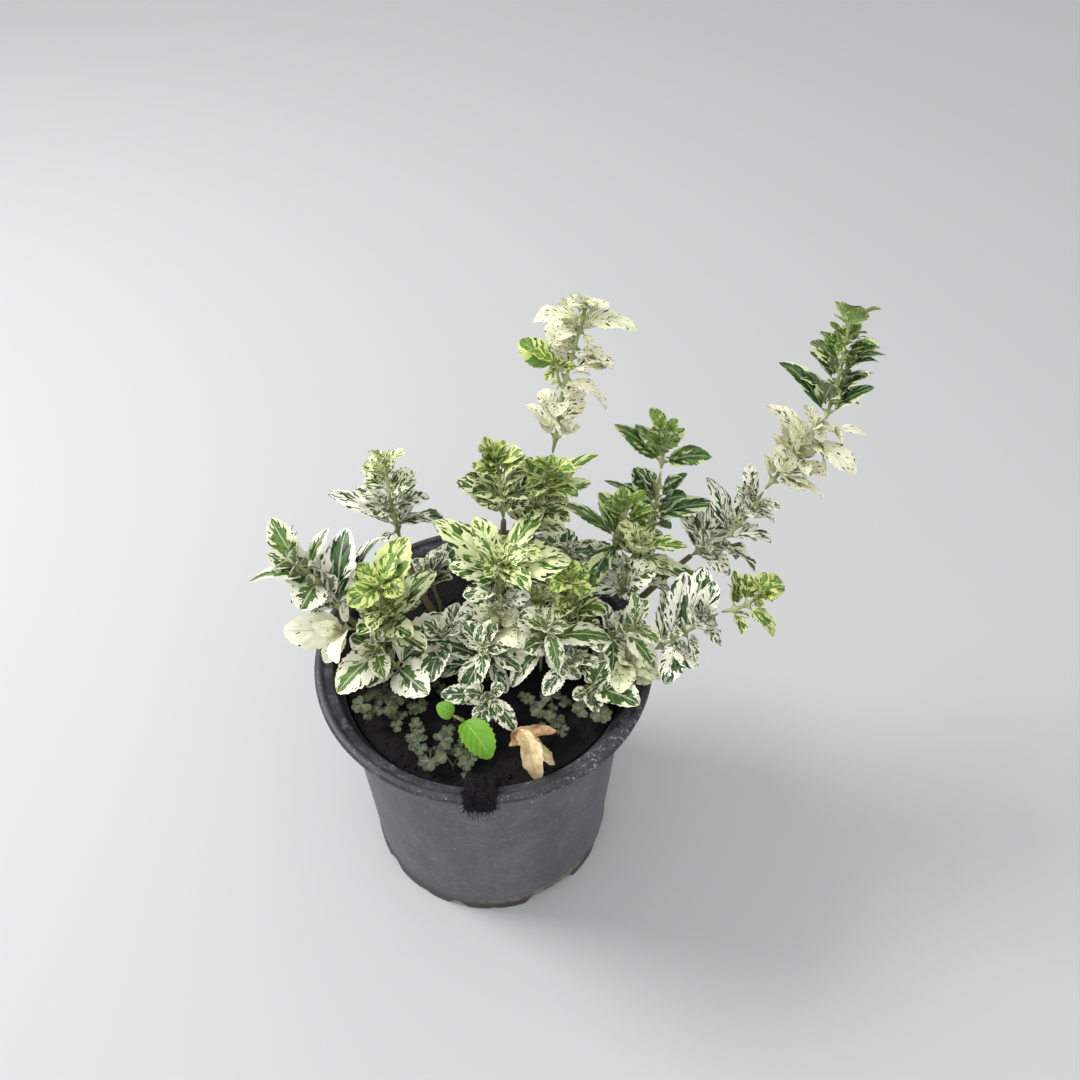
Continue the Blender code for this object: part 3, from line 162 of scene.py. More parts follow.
def new_finish(name):
    """Material whose node tree holds a Principled BSDF and its output."""
    made = bpy.data.materials.new(name)
    made.use_nodes = True
    tree = made.node_tree
    shader = tree.nodes["Principled BSDF"]
    return made, tree, shader


def node(tree, kind, **settings):
    made = tree.nodes.new(kind)
    for key, value in settings.items():
        setattr(made, key, value)
    return made


def feed(tree, socket, value):
    """Link a socket or set a plain value."""
    if isinstance(value, bpy.types.NodeSocket):
        tree.links.new(value, socket)
    else:
        socket.default_value = value


def calc(tree, operation, first, second=None, third=None, clamp=False):
    made = node(tree, "ShaderNodeMath", operation=operation, use_clamp=clamp)
    for socket, value in zip(made.inputs, (first, second, third)):
        if value is not None:
            feed(tree, socket, value)
    return made.outputs[0]


def blend_colour(tree, share, first, second, kind="MIX"):
    made = node(tree, "ShaderNodeMix", data_type="RGBA", blend_type=kind)
    feed(tree, made.inputs["Factor"], share)
    feed(tree, made.inputs["A"], first)
    feed(tree, made.inputs["B"], second)
    return made.outputs["Result"]


def noise_value(tree, vector, scale, detail=3.0, roughness=0.55):
    made = node(tree, "ShaderNodeTexNoise")
    feed(tree, made.inputs["Vector"], vector)
    made.inputs["Scale"].default_value = scale
    made.inputs["Detail"].default_value = detail
    made.inputs["Roughness"].default_value = roughness
    return made.outputs["Fac"]


def step_between(tree, value, low, high):
    """0 below low, 1 above high, with a soft edge between."""
    made = node(tree, "ShaderNodeMapRange", interpolation_type="SMOOTHSTEP")
    feed(tree, made.inputs["Value"], value)
    feed(tree, made.inputs["From Min"], low)
    feed(tree, made.inputs["From Max"], high)
    return made.outputs["Result"]


def combine(tree, x, y, z):
    made = node(tree, "ShaderNodeCombineXYZ")
    for socket, value in zip(made.inputs, (x, y, z)):
        feed(tree, socket, value)
    return made.outputs[0]


def bump(tree, shader, height, strength, distance):
    made = node(tree, "ShaderNodeBump")
    made.inputs["Strength"].default_value = strength
    made.inputs["Distance"].default_value = distance
    feed(tree, made.inputs["Height"], height)
    tree.links.new(made.outputs["Normal"], shader.inputs["Normal"])


def place_on_object(tree):
    return node(tree, "ShaderNodeTexCoord").outputs["Object"]


def stretched(tree, vector, scale):
    made = node(tree, "ShaderNodeMapping")
    feed(tree, made.inputs["Vector"], vector)
    made.inputs["Scale"].default_value = scale
    return made.outputs["Vector"]


def new_group(name, inputs, outputs):
    tree = bpy.data.node_groups.new(name, "ShaderNodeTree")
    for label, kind in inputs:
        tree.interface.new_socket(name=label, in_out="INPUT", socket_type=kind)
    for label, kind in outputs:
        tree.interface.new_socket(name=label, in_out="OUTPUT", socket_type=kind)
    source = tree.nodes.new("NodeGroupInput")
    target = tree.nodes.new("NodeGroupOutput")
    return tree, source.outputs, target.inputs


# ---------------------------------------------------------------- leaf finish

def leaf_pattern_group():
    """Variegation of one leaf: green lobes and streaks along the side veins over a pale ground, with dark flecks."""
    floats = "NodeSocketFloat"
    colours = "NodeSocketColor"
    tree, given, result = new_group(
        "leaf_pattern",
        [
            ("Along", floats), ("Across", floats), ("Leaf", colours), ("Centre", floats), ("Green Share", floats),
            ("Streaks", floats), ("Flecks", floats), ("Pale", colours), ("Young Pale", colours),
            ("Green", colours), ("Young Green", colours), ("Dark", colours),
        ],
        [("Colour", colours), ("Height", floats), ("Roughness", floats)],
    )
    split = node(tree, "ShaderNodeSeparateColor")
    feed(tree, split.inputs[0], given["Leaf"])
    chance = split.outputs[0]
    age = split.outputs[1]
    lean = split.outputs[2]
    along = given["Along"]
    across = given["Across"]
    out = calc(tree, "ABSOLUTE", across)
    veinwise = calc(tree, "SUBTRACT", along, calc(tree, "MULTIPLY", out, 0.30))
    seed = calc(tree, "MULTIPLY", chance, 61.0)

    def vein_noise(lengthwise, crosswise, offset, detail):
        place = combine(
            tree,
            calc(tree, "MULTIPLY", veinwise, lengthwise),
            calc(tree, "MULTIPLY", across, crosswise),
            calc(tree, "ADD", seed, offset),
        )
        return noise_value(tree, place, 1.0, detail, 0.55)

    streak = vein_noise(6.5, 1.5, 0.0, 1.0)
    jag = vein_noise(17.0, 4.0, 5.0, 1.5)
    lobe = vein_noise(4.5, 2.0, 9.0, 1.0)
    centred = calc(tree, "MULTIPLY", calc(tree, "SUBTRACT", 0.56, out), given["Centre"])
    wanted = calc(tree, "ADD", given["Green Share"], calc(tree, "MULTIPLY", calc(tree, "SUBTRACT", lean, 0.5), 0.30))
    streaky = calc(tree, "MULTIPLY", calc(tree, "SUBTRACT", streak, 0.5), given["Streaks"])
    jagged = calc(tree, "MULTIPLY", calc(tree, "SUBTRACT", jag, 0.5), 0.9)
    level = calc(tree, "ADD", calc(tree, "ADD", centred, wanted), calc(tree, "ADD", streaky, jagged))
    green_mask = step_between(tree, level, 0.485, 0.515)
    pale = blend_colour(tree, age, given["Young Pale"], given["Pale"])
    green = blend_colour(tree, age, given["Young Green"], given["Green"])
    depth = calc(tree, "ADD", calc(tree, "MULTIPLY", calc(tree, "SUBTRACT", lobe, 0.5), 2.6), calc(tree, "MULTIPLY", level, 0.30))
    deep_mask = step_between(tree, depth, 0.24, 0.34)
    deep_mask = calc(tree, "MULTIPLY", deep_mask, calc(tree, "ADD", 0.25, calc(tree, "MULTIPLY", age, 0.75)))
    green = blend_colour(tree, deep_mask, green, given["Dark"])
    colour = blend_colour(tree, green_mask, pale, green)
    edge_speck = vein_noise(13.0, 3.8, 4.0, 0.0)
    fleck_edge = calc(tree, "SUBTRACT", 0.86, calc(tree, "MULTIPLY", given["Flecks"], 0.22))
    fleck_edge = calc(tree, "SUBTRACT", fleck_edge, calc(tree, "MULTIPLY", out, 0.08))
    fleck_mask = step_between(tree, edge_speck, fleck_edge, calc(tree, "ADD", fleck_edge, 0.02))
    colour = blend_colour(tree, fleck_mask, colour, given["Dark"])
    midrib = calc(tree, "SUBTRACT", 1.0, step_between(tree, out, 0.025, 0.085))
    ribs = calc(tree, "PINGPONG", calc(tree, "MULTIPLY", veinwise, 5.5), 0.5)
    side_rib = calc(tree, "SUBTRACT", 1.0, step_between(tree, ribs, 0.02, 0.10))
    side_rib = calc(tree, "MULTIPLY", side_rib, calc(tree, "SUBTRACT", 0.75, calc(tree, "MULTIPLY", out, 0.6)))
    rib = calc(tree, "MAXIMUM", calc(tree, "MULTIPLY", midrib, 0.75), calc(tree, "MULTIPLY", side_rib, 0.30))
    rib_colour = blend_colour(tree, 0.30, pale, green)
    colour = blend_colour(tree, rib, colour, rib_colour)
    shade = lobe
    light = node(tree, "ShaderNodeHueSaturation")
    feed(tree, light.inputs["Color"], colour)
    feed(tree, light.inputs["Value"], calc(tree, "ADD", 0.80, calc(tree, "MULTIPLY", shade, 0.40)))
    feed(tree, result["Colour"], light.outputs["Color"])
    quilt = calc(tree, "MULTIPLY", ribs, 0.9)
    height = calc(tree, "SUBTRACT", quilt, calc(tree, "MULTIPLY", midrib, 0.8))
    feed(tree, result["Height"], height)
    feed(tree, result["Roughness"], calc(tree, "ADD", 0.34, calc(tree, "MULTIPLY", streak, 0.20)))
    return tree


def srgb(red, green, blue):
    """Colour given (0 to 255) as the linear values that a shader takes."""
    def linear(value):
        value /= 255.0
        return value / 12.92 if value <= 0.04045 else ((value + 0.055) / 1.055) ** 2.4
    return (linear(red), linear(green), linear(blue), 1.0)


WHITE = srgb(245, 243, 224)
CREAM = srgb(240, 238, 208)
YELLOW = srgb(230, 234, 192)
MID_GREEN = srgb(70, 106, 44)
FRESH_GREEN = srgb(104, 142, 48)
DARK_GREEN = srgb(27, 54, 27)
BLACK_GREEN = srgb(16, 30, 17)

LEAF_FINISHES = {
    # centre, green share, streaks, flecks, pale, young pale, green, young green, dark
    "leaf_cream": (0.35, 0.06, 1.9, 0.52, CREAM, YELLOW, MID_GREEN, FRESH_GREEN, BLACK_GREEN),
    "leaf_white": (0.1, 0.00, 2.2, 0.12, WHITE, CREAM, DARK_GREEN, MID_GREEN, BLACK_GREEN),
    "leaf_lime": (0.7, 0.50, 3.2, 0.30, srgb(226, 230, 182), srgb(196, 208, 112), srgb(78, 108, 36), FRESH_GREEN, DARK_GREEN),
    "leaf_green": (0.9, 0.72, 2.8, 0.25, srgb(212, 222, 172), srgb(196, 208, 112), srgb(62, 100, 42), srgb(120, 156, 54),
                   DARK_GREEN),
    "leaf_flecked": (0.4, 0.33, 4.2, 0.70, WHITE, srgb(226, 234, 160), MID_GREEN, FRESH_GREEN, DARK_GREEN),
    "leaf_margined": (1.5, 0.46, 2.6, 0.40, WHITE, CREAM, srgb(62, 100, 46), FRESH_GREEN, DARK_GREEN),
    "leaf_dark": (1.0, 0.52, 3.0, 0.40, srgb(226, 232, 214), CREAM, srgb(40, 70, 38), MID_GREEN, BLACK_GREEN),
    "leaf_sprout": (1.2, 1.30, 0.8, 0.0, srgb(170, 206, 96), srgb(170, 206, 96), srgb(112, 166, 44),
                    srgb(112, 166, 44), srgb(84, 140, 36)),
}


def leaf_finish(name, pattern):
    centre, share, streaks, flecks, pale, young_pale, green, young_green, dark = LEAF_FINISHES[name]
    made, tree, shader = new_finish(name)
    uv = node(tree, "ShaderNodeUVMap", uv_map="blade")
    split = node(tree, "ShaderNodeSeparateXYZ")
    tree.links.new(uv.outputs["UV"], split.inputs[0])
    kind = node(tree, "ShaderNodeAttribute", attribute_name="leaf_kind")
    group = node(tree, "ShaderNodeGroup", node_tree=pattern)
    across = calc(tree, "SUBTRACT", calc(tree, "MULTIPLY", split.outputs["X"], 2.0), 1.0)
    feed(tree, group.inputs["Along"], split.outputs["Y"])
    feed(tree, group.inputs["Across"], across)
    feed(tree, group.inputs["Leaf"], kind.outputs["Color"])
    plain = {
        "Centre": centre, "Green Share": share, "Streaks": streaks, "Flecks": flecks, "Pale": pale,
        "Young Pale": young_pale, "Green": green, "Young Green": young_green, "Dark": dark,
    }
    for label, value in plain.items():
        group.inputs[label].default_value = value
    back = node(tree, "ShaderNodeNewGeometry").outputs["Backfacing"]
    under = blend_colour(tree, 0.15, group.outputs["Colour"], srgb(214, 222, 188))
    colour = blend_colour(tree, back, group.outputs["Colour"], under)
    tree.links.new(colour, shader.inputs["Base Color"])
    tree.links.new(group.outputs["Roughness"], shader.inputs["Roughness"])
    shader.inputs["Specular IOR Level"].default_value = 0.42
    bump(tree, shader, group.outputs["Height"], 0.55, 0.0006)
    return made


# ---------------------------------------------------------------- leaves from the CAD solids

class Leaf:
    """Curved centre line, half width and upper side of one blade."""

    def __init__(self, centres, half, top_first, top_second):
        self.centres = centres
        self.half = half
        self.top_first = top_first
        self.top_second = top_second
        self.root = centres[0]
        self.length = (centres[3] - centres[0]).length
        self.cage_verts = []

    def point(self, across, along, habit):
        """Place of a point of the flat pattern (across -1 to 1, along 0 to 1) on the real blade."""
        centre = through_four(self.centres, SECTIONS, along)
        share = min(max((along - SECTIONS[1]) / (SECTIONS[2] - SECTIONS[1]), 0.0), 1.0)
        top = self.top_first.lerp(self.top_second, share)
        ahead = through_four(self.centres, SECTIONS, along + 0.03) - centre
        ahead.normalize()
        top = (top - ahead * top.dot(ahead)).normalized()
        side = ahead.cross(top)
        half = self.half * BLADE_WIDER * outline(along)
        out = abs(across)
        keel = math.sqrt(out * out + 0.05) - math.sqrt(0.05)
        lag = 2.0 if across > 0 else 0.0
        ripple = habit["wave"] * out ** 2 * math.sin(along * habit["pace"] + habit["phase"] + lag)
        rise = habit["fold"] * keel - habit["roll"] * out ** 4 + ripple
        curl = habit["curl"] * max(along - 0.45, 0.0) ** 2 * self.length
        twist = habit["twist"] * (along - 0.3) * across
        return centre + side * (across * half) + top * ((rise + twist) * half - curl)


def leaf_from_rings(tip, rings):
    """One leaf of a CAD shoot, read back from its solid."""
    second, first, stalk = rings
    centres = [middle(stalk), middle(first), middle(second), tip.co.copy()]
    top_first = top_side(first, centres[2] - centres[0])
    top_second = top_side(second, centres[3] - centres[1])
    leaf = Leaf(centres, width_of(first[1]) / 2, top_first, top_second)
    leaf.cage_verts = [tip] + second[0] + second[1] + first[0] + first[1]
    return leaf


def young_leaf(root, axis, outward, length, width, rise):
    """Small leaf at a place on a shoot, steeper near its stalk than at its tip."""
    centres = [root]
    for share, lean in ((0.32, rise), (0.38, rise - 10.0), (0.30, rise - 24.0)):
        turn = math.radians(lean)
        centres.append(centres[-1] + (outward * math.cos(turn) + axis * math.sin(turn)) * share * length)
    tops = []
    for lean in (rise - 5.0, rise - 17.0):
        turn = math.radians(lean)
        tops.append(axis * math.cos(turn) - outward * math.sin(turn))
    return Leaf(centres, width / 2, *tops)


def middle(verts):
    """Middle of some corners, or of a section given as its midrib and margin corners."""
    if isinstance(verts, tuple):
        verts = verts[0] + verts[1]
    return sum((vert.co for vert in verts), Vector()) / len(verts)


def width_of(pair):
    return (pair[0].co - pair[1].co).length


def top_side(ring, along):
    mids, margins = ring
    across = (margins[0].co - margins[1].co).normalized()
    top = across.cross(along.normalized()).normalized()
    lift = middle(margins) - middle(mids)
    return top if top.dot(lift) > 0 else -top


def through_four(points, places, at):
    """Smooth curve through four points."""
    total = Vector()
    for index, point in enumerate(points):
        weight = 1.0
        for other, place in enumerate(places):
            if other != index:
                weight *= (at - place) / (places[index] - place)
        total += point * weight
    return total


def outline(along):
    """Half width along a blade: full past the middle, with a blunt point."""
    swell = math.sin(math.pi * min(max(along, 0.0), 1.0) ** 0.86)
    return max(swell, 0.0) ** 0.62 + 0.012


def neighbours(vert):
    return [edge.other_vert(vert) for edge in vert.link_edges]


def split_ring(ring):
    """A blade section as its two midrib corners and its two margin corners."""
    pairs = [(one, two) for index, one in enumerate(ring) for two in ring[index + 1:]]
    margins = max(pairs, key=lambda pair: (pair[0].co - pair[1].co).length)
    mids = [vert for vert in ring if vert not in margins]
    return mids, list(margins)


def ring_behind(ring, seen):
    mids = []
    for vert in ring[0]:
        mids += [other for other in neighbours(vert) if other not in seen and other not in mids]
    margins = []
    for vert in ring[1]:
        margins += [other for other in neighbours(vert) if other not in seen and other not in mids]
    return mids, margins


def read_leaf(vert):
    """The leaf that ends in a corner, or None for a bud."""
    ring = split_ring(neighbours(vert))
    if width_of(ring[1]) < 2.2 * width_of(ring[0]):
        return None
    seen = {vert, *ring[0], *ring[1]}
    rings = [ring]
    for _ in range(2):
        ring = ring_behind(ring, seen)
        if len(ring[0]) != 2 or len(ring[1]) != 2:
            return None
        seen.update(ring[0] + ring[1])
        rings.append(ring)
    return leaf_from_rings(vert, rings)


def is_point(vert, widest=217.0):
    """True for the sharp end of a leaf or bud."""
    if len(vert.link_edges) != 4:
        return False
    return sum(loop.calc_angle() for loop in vert.link_loops) < math.radians(widest)


def read_leaves(bm):
    leaves = []
    buds = []
    for vert in bm.verts:
        if is_point(vert):
            leaf = read_leaf(vert)
            if leaf:
                leaves.append(leaf)
            else:
                buds.append(vert.co.copy())
    return leaves, buds


def leaf_template(name, rows):
    """Flat toothed leaf: across from -1 to 1 along X, from its stalk at 0 to its point at 1 along Y."""
    bm = bmesh.new()
    bmesh.ops.create_grid(bm, x_segments=LEAF_COLUMNS, y_segments=rows, size=1.0)
    margin = [edge for edge in bm.edges if all(abs(vert.co.x) > 0.999 for vert in edge.verts)]
    teeth = bmesh.ops.subdivide_edges(bm, edges=margin, cuts=1)["geom_inner"]
    for vert in teeth:
        if isinstance(vert, bmesh.types.BMVert):
            vert.co.x *= 1.0 + TOOTH
            vert.co.y += 2 * TOOTH_LEAN
    layer = bm.loops.layers.uv.new("blade")
    for vert in bm.verts:
        vert.co.y = (vert.co.y + 1.0) / 2
    for face in bm.faces:
        for loop in face.loops:
            loop[layer].uv = (loop.vert.co.x / 2 + 0.5, loop.vert.co.y)
    mesh = bpy.data.meshes.new(name)
    bm.to_mesh(mesh)
    bm.free()
    return mesh


def leaf_habit(source, curliness):
    """How one leaf is folded, rolled, waved and twisted."""
    return {
        "fold": source.uniform(0.16, 0.42),
        "roll": source.uniform(-0.05, 0.16),
        "wave": source.uniform(0.04, 0.14) * curliness,
        "pace": source.uniform(7.0, 13.0),
        "phase": source.uniform(0.0, math.tau),
        "curl": source.uniform(-0.10, 0.35) * curliness,
        "twist": source.uniform(-0.5, 0.5) * curliness,
    }


def add_blade(bm, leaf, template, kind, habit):
    """Lay the flat template over one leaf."""
    count = len(bm.verts)
    bm.from_mesh(template)
    bm.verts.ensure_lookup_table()
    layer = bm.verts.layers.float_color["leaf_kind"]
    for vert in bm.verts[count:]:
        vert.co = leaf.point(vert.co.x, vert.co.y, habit)
        vert[layer] = kind


def shoot_axis(spot, leaves, buds):
    """Direction in which the shoot grows at a place."""
    near = sorted(leaves, key=lambda leaf: (leaf.root - spot).length)[:6]
    if buds:
        below = sum((leaf.root for leaf in near), Vector()) / len(near)
        axis = min(buds, key=lambda point: (point - spot).length) - below
    else:
        axis = sum(((leaf.centres[3] - leaf.root).normalized() for leaf in near), Vector())
    return axis.normalized() if axis.length > 1e-4 else UP.copy()


def age_at(spot, buds):
    """0 at a bud, 1 on old wood."""
    return min([1.0] + [(spot - bud).length / 0.030 for bud in buds])


def tip_rosette(bud, leaves, buds, source, growth):
    """Small new leaves packed round a bud."""
    axis = shoot_axis(bud, leaves, buds)
    across = axis.orthogonal().normalized()
    turn = source.uniform(0.0, 360.0)
    near = sorted(leaves, key=lambda leaf: (leaf.root - bud).length)[:4]
    scale = growth * sum(leaf.length for leaf in near) / len(near)
    grown = []
    for pair, (share, rise, back) in enumerate(((0.62, 34.0, 0.0042), (0.50, 52.0, 0.0028), (0.34, 68.0, 0.0014))):
        for half_turn in (0.0, 180.0):
            angle = turn + pair * 90.0 + half_turn + source.uniform(-16, 16)
            outward = Matrix.Rotation(math.radians(angle), 3, axis) @ across
            length = scale * share * source.uniform(0.85, 1.1)
            root = bud - axis * back + outward * 0.0006
            grown.append(young_leaf(root, axis, outward, length, length * 0.50, rise + source.uniform(-8, 8)))
    return grown


def side_leaf(leaf, leaves, buds, source):
    """Small leaf in the angle between a leaf and its shoot."""
    axis = shoot_axis(leaf.root, leaves, buds)
    outward = leaf.centres[1] - leaf.root
    outward = (outward - axis * outward.dot(axis)).normalized()
    outward = Matrix.Rotation(math.radians(source.uniform(-75, 75)), 3, axis) @ outward
    length = leaf.length * source.uniform(0.42, 0.74)
    root = leaf.root + axis * source.uniform(0.0006, 0.0030) - outward * 0.0012
    return young_leaf(root, axis, outward, length, length * 0.48, source.uniform(18, 58))


def build_shoot(name, templates, finishes):
    """Blades and stem of one leafy shoot."""
    source = random.Random(name)
    tone = SLOTS[name]
    large, small = templates
    cage = joined_copy(name)
    leaves, buds = read_leaves(cage)
    bm = bmesh.new()
    bm.verts.layers.float_color.new("leaf_kind")
    curliness = CURLINESS.get(tone, 1.0)
    for leaf in leaves:
        leaf.half *= NARROWED.get(tone, 1.0)
        kind = (source.random(), age_at(leaf.root, buds), source.random(), 1.0)
        add_blade(bm, leaf, large, kind, leaf_habit(source, curliness))
    young = []
    if tone != "leaf_sprout":
        for bud in buds:
            young += tip_rosette(bud, leaves, buds, source, TIP_SIZE.get(name, 1.0))
        for leaf in leaves:
            for _ in range(SIDE_TRIES.get(name, 2)):
                if source.random() < SIDE_LEAVES:
                    young.append(side_leaf(leaf, leaves, buds, source))
    for leaf in young:
        kind = (source.random(), 0.9 * age_at(leaf.root, buds), source.random(), 1.0)
        add_blade(bm, leaf, small, kind, leaf_habit(source, curliness))
    label = name.replace("spray_", "")
    add_piece("leaves_" + label, bm, finishes[tone], [name])
    bmesh.ops.delete(cage, geom=[vert for leaf in leaves for vert in leaf.cage_verts], context="VERTS")
    holes = [edge for edge in cage.edges if edge.is_boundary]
    bmesh.ops.holes_fill(cage, edges=holes, sides=4)
    bmesh.ops.join_triangles(
        cage,
        faces=cage.faces,
        angle_face_threshold=math.radians(45),
        angle_shape_threshold=math.radians(80),
    )
    cage.normal_update()
    for vert in cage.verts:
        vert.co += vert.normal * STALK_GROWTH
    stem = add_piece("shoot_" + label, cage, finishes["shoot"], [name])
    add_subdivision(stem, 2)


# ---------------------------------------------------------------- other finishes

def shoot_finish():
    made, tree, shader = new_finish("green_shoot")
    place = place_on_object(tree)
    patch = noise_value(tree, stretched(tree, place, (260.0, 260.0, 90.0)), 1.0, 3.0)
    colour = blend_colour(tree, step_between(tree, patch, 0.35, 0.65), srgb(112, 126, 70), srgb(164, 172, 116))
    tree.links.new(colour, shader.inputs["Base Color"])
    shader.inputs["Roughness"].default_value = 0.5
    bump(tree, shader, patch, 0.3, 0.0004)
    return made


def bark_finish():
    made, tree, shader = new_finish("bark")
    place = place_on_object(tree)
    crack = noise_value(tree, stretched(tree, place, (900.0, 900.0, 220.0)), 1.0, 5.0, 0.65)
    patch = noise_value(tree, place, 60.0, 2.0)
    colour = blend_colour(tree, patch, srgb(86, 78, 52), srgb(132, 124, 88))
    colour = blend_colour(tree, step_between(tree, crack, 0.50, 0.72), colour, srgb(48, 38, 28))
    tree.links.new(colour, shader.inputs["Base Color"])
    shader.inputs["Roughness"].default_value = 0.8
    bump(tree, shader, crack, 0.7, 0.0006)
    return made


def soil_finish():
    made, tree, shader = new_finish("soil")
    place = place_on_object(tree)
    grain = noise_value(tree, place, 700.0, 4.0, 0.7)
    patch = noise_value(tree, place, 90.0, 3.0)
    colour = blend_colour(tree, patch, srgb(13, 12, 15), srgb(32, 28, 30))
    colour = blend_colour(tree, step_between(tree, grain, 0.62, 0.74), colour, srgb(60, 54, 54))
    tree.links.new(colour, shader.inputs["Base Color"])
    shader.inputs["Roughness"].default_value = 0.92
    shader.inputs["Specular IOR Level"].default_value = 0.25
    bump(tree, shader, grain, 0.9, 0.0012)
    return made


def pot_finish(height):
    """Black moulded plastic: dusty, with fine scratches, scuffs on the rim, painted shade over the rim band, a painted
    highlight along the rim's outer bead and a dried soil line above the foot.
    """
    made, tree, shader = new_finish("pot_plastic")
    place = place_on_object(tree)
    split = node(tree, "ShaderNodeSeparateXYZ")
    tree.links.new(place, split.inputs[0])
    cloud = noise_value(tree, place, 45.0, 4.0, 0.6)
    fine = noise_value(tree, place, 900.0, 3.0, 0.6)
    scratch = noise_value(tree, stretched(tree, place, (260.0, 260.0, 2200.0)), 1.0, 2.0, 0.5)
    nick = noise_value(tree, stretched(tree, place, (420.0, 420.0, 300.0)), 1.0, 1.0, 0.5)
    body = blend_colour(tree, step_between(tree, cloud, 0.35, 0.70), srgb(74, 74, 80), srgb(92, 92, 98))
    # painted shade: from the ledge below the lip, up over the rim and into the throat, the plastic gets this darker
    # grey than the body
    top = blend_colour(tree, step_between(tree, cloud, 0.35, 0.70), srgb(40, 41, 46), srgb(56, 57, 63))
    rim_shade_band = step_between(tree, split.outputs["Z"], height - 0.011, height - 0.0085)
    colour = blend_colour(tree, rim_shade_band, body, top)
    speck = calc(tree, "MULTIPLY", step_between(tree, fine, 0.62, 0.69), step_between(tree, cloud, 0.40, 0.58))
    colour = blend_colour(tree, calc(tree, "MULTIPLY", speck, 0.55), colour, srgb(172, 172, 172))
    mottle = noise_value(tree, place, 260.0, 5.0, 0.7)
    mottled = calc(tree, "MULTIPLY", step_between(tree, mottle, 0.52, 0.66),
                   calc(tree, "SUBTRACT", 1.0, calc(tree, "MULTIPLY", rim_shade_band, 0.75)))
    colour = blend_colour(tree, calc(tree, "MULTIPLY", mottled, 0.24), colour,
                          srgb(142, 142, 146))
    nicks = calc(tree, "MULTIPLY", step_between(tree, nick, 0.76, 0.79), 0.5)
    colour = blend_colour(tree, nicks, colour, srgb(160, 160, 160))
    lines = calc(tree, "MULTIPLY", step_between(tree, scratch, 0.66, 0.73), 0.40)
    colour = blend_colour(tree, lines, colour, srgb(140, 140, 142))
    across = calc(tree, "SUBTRACT", split.outputs["X"], split.outputs["Y"])
    foot = calc(tree, "SUBTRACT", 1.0, step_between(tree, split.outputs["Z"], FOOT_HEIGHT - 0.0010, FOOT_HEIGHT + 0.0006))
    colour = blend_colour(tree, calc(tree, "MULTIPLY", foot, 0.85), colour, srgb(44, 42, 40))
    low = calc(tree, "SUBTRACT", 1.0, step_between(tree, split.outputs["Z"], FOOT_HEIGHT + 0.0012, FOOT_HEIGHT + 0.0032))
    low = calc(tree, "MULTIPLY", low, step_between(tree, split.outputs["Z"], FOOT_HEIGHT - 0.0035, FOOT_HEIGHT + 0.0004))
    dirt_noise = noise_value(tree, place, 160.0, 5.0, 0.7)
    front = step_between(tree, across, 0.030, 0.085)
    dirt = calc(tree, "MULTIPLY", low, step_between(tree, dirt_noise, 0.40, 0.56))
    dirt = calc(tree, "MULTIPLY", dirt, calc(tree, "ADD", 0.10, calc(tree, "MULTIPLY", front, 0.65)))
    colour = blend_colour(tree, dirt, colour, srgb(128, 116, 96))
    rim = step_between(tree, split.outputs["Z"], height - 0.006, height - 0.002)
    rub = calc(tree, "MULTIPLY", rim, step_between(tree, noise_value(tree, place, 420.0, 4.0, 0.7), 0.55, 0.64))
    side = step_between(tree, across, 0.100, 0.117)
    # painted highlight: a light grey line along the rim's outer bead, broken up by noise
    edge = step_between(tree, split.outputs["Z"], height - 0.0046, height - 0.0034)
    edge = calc(tree, "MULTIPLY", edge, calc(tree, "SUBTRACT", 1.0, step_between(tree, split.outputs["Z"], height - 0.0016,
                                                                                height - 0.0006)))
    painted_bead_highlight = calc(tree, "MULTIPLY", edge, step_between(tree, noise_value(tree, place, 130.0, 5.0, 0.75), 0.50, 0.66))
    colour = blend_colour(tree, calc(tree, "MULTIPLY", painted_bead_highlight, 0.30), colour, srgb(140, 140, 146))
    colour = blend_colour(tree, calc(tree, "MULTIPLY", calc(tree, "MULTIPLY", rub, side), 0.8), colour,
                          srgb(150, 150, 150))
    tree.links.new(colour, shader.inputs["Base Color"])
    rough = calc(tree, "ADD", 0.38, calc(tree, "MULTIPLY", cloud, 0.25))
    tree.links.new(rough, shader.inputs["Roughness"])
    bump(tree, shader, fine, 0.15, 0.0004)
    return made


def clover_finish():
    made, tree, shader = new_finish("clover")
    uv = node(tree, "ShaderNodeUVMap", uv_map="blade")
    split = node(tree, "ShaderNodeSeparateXYZ")
    tree.links.new(uv.outputs["UV"], split.inputs[0])
    place = place_on_object(tree)
    patch = noise_value(tree, place, 160.0, 3.0)
    colour = blend_colour(tree, step_between(tree, patch, 0.35, 0.65), srgb(42, 48, 32), srgb(80, 90, 60))
    fold = calc(tree, "ABSOLUTE", calc(tree, "SUBTRACT", split.outputs["X"], 0.5))
    centre = calc(tree, "SUBTRACT", 1.0, step_between(tree, fold, 0.05, 0.40))
    centre = calc(tree, "MULTIPLY", centre, step_between(tree, split.outputs["Y"], 0.95, 0.20))
    colour = blend_colour(tree, calc(tree, "MULTIPLY", centre, 0.55), colour, srgb(98, 110, 78))
    rib = calc(tree, "SUBTRACT", 1.0, step_between(tree, fold, 0.01, 0.05))
    colour = blend_colour(tree, calc(tree, "MULTIPLY", rib, 0.5), colour, srgb(138, 148, 116))
    tree.links.new(colour, shader.inputs["Base Color"])
    shader.inputs["Roughness"].default_value = 0.6
    bump(tree, shader, patch, 0.3, 0.0005)
    return made


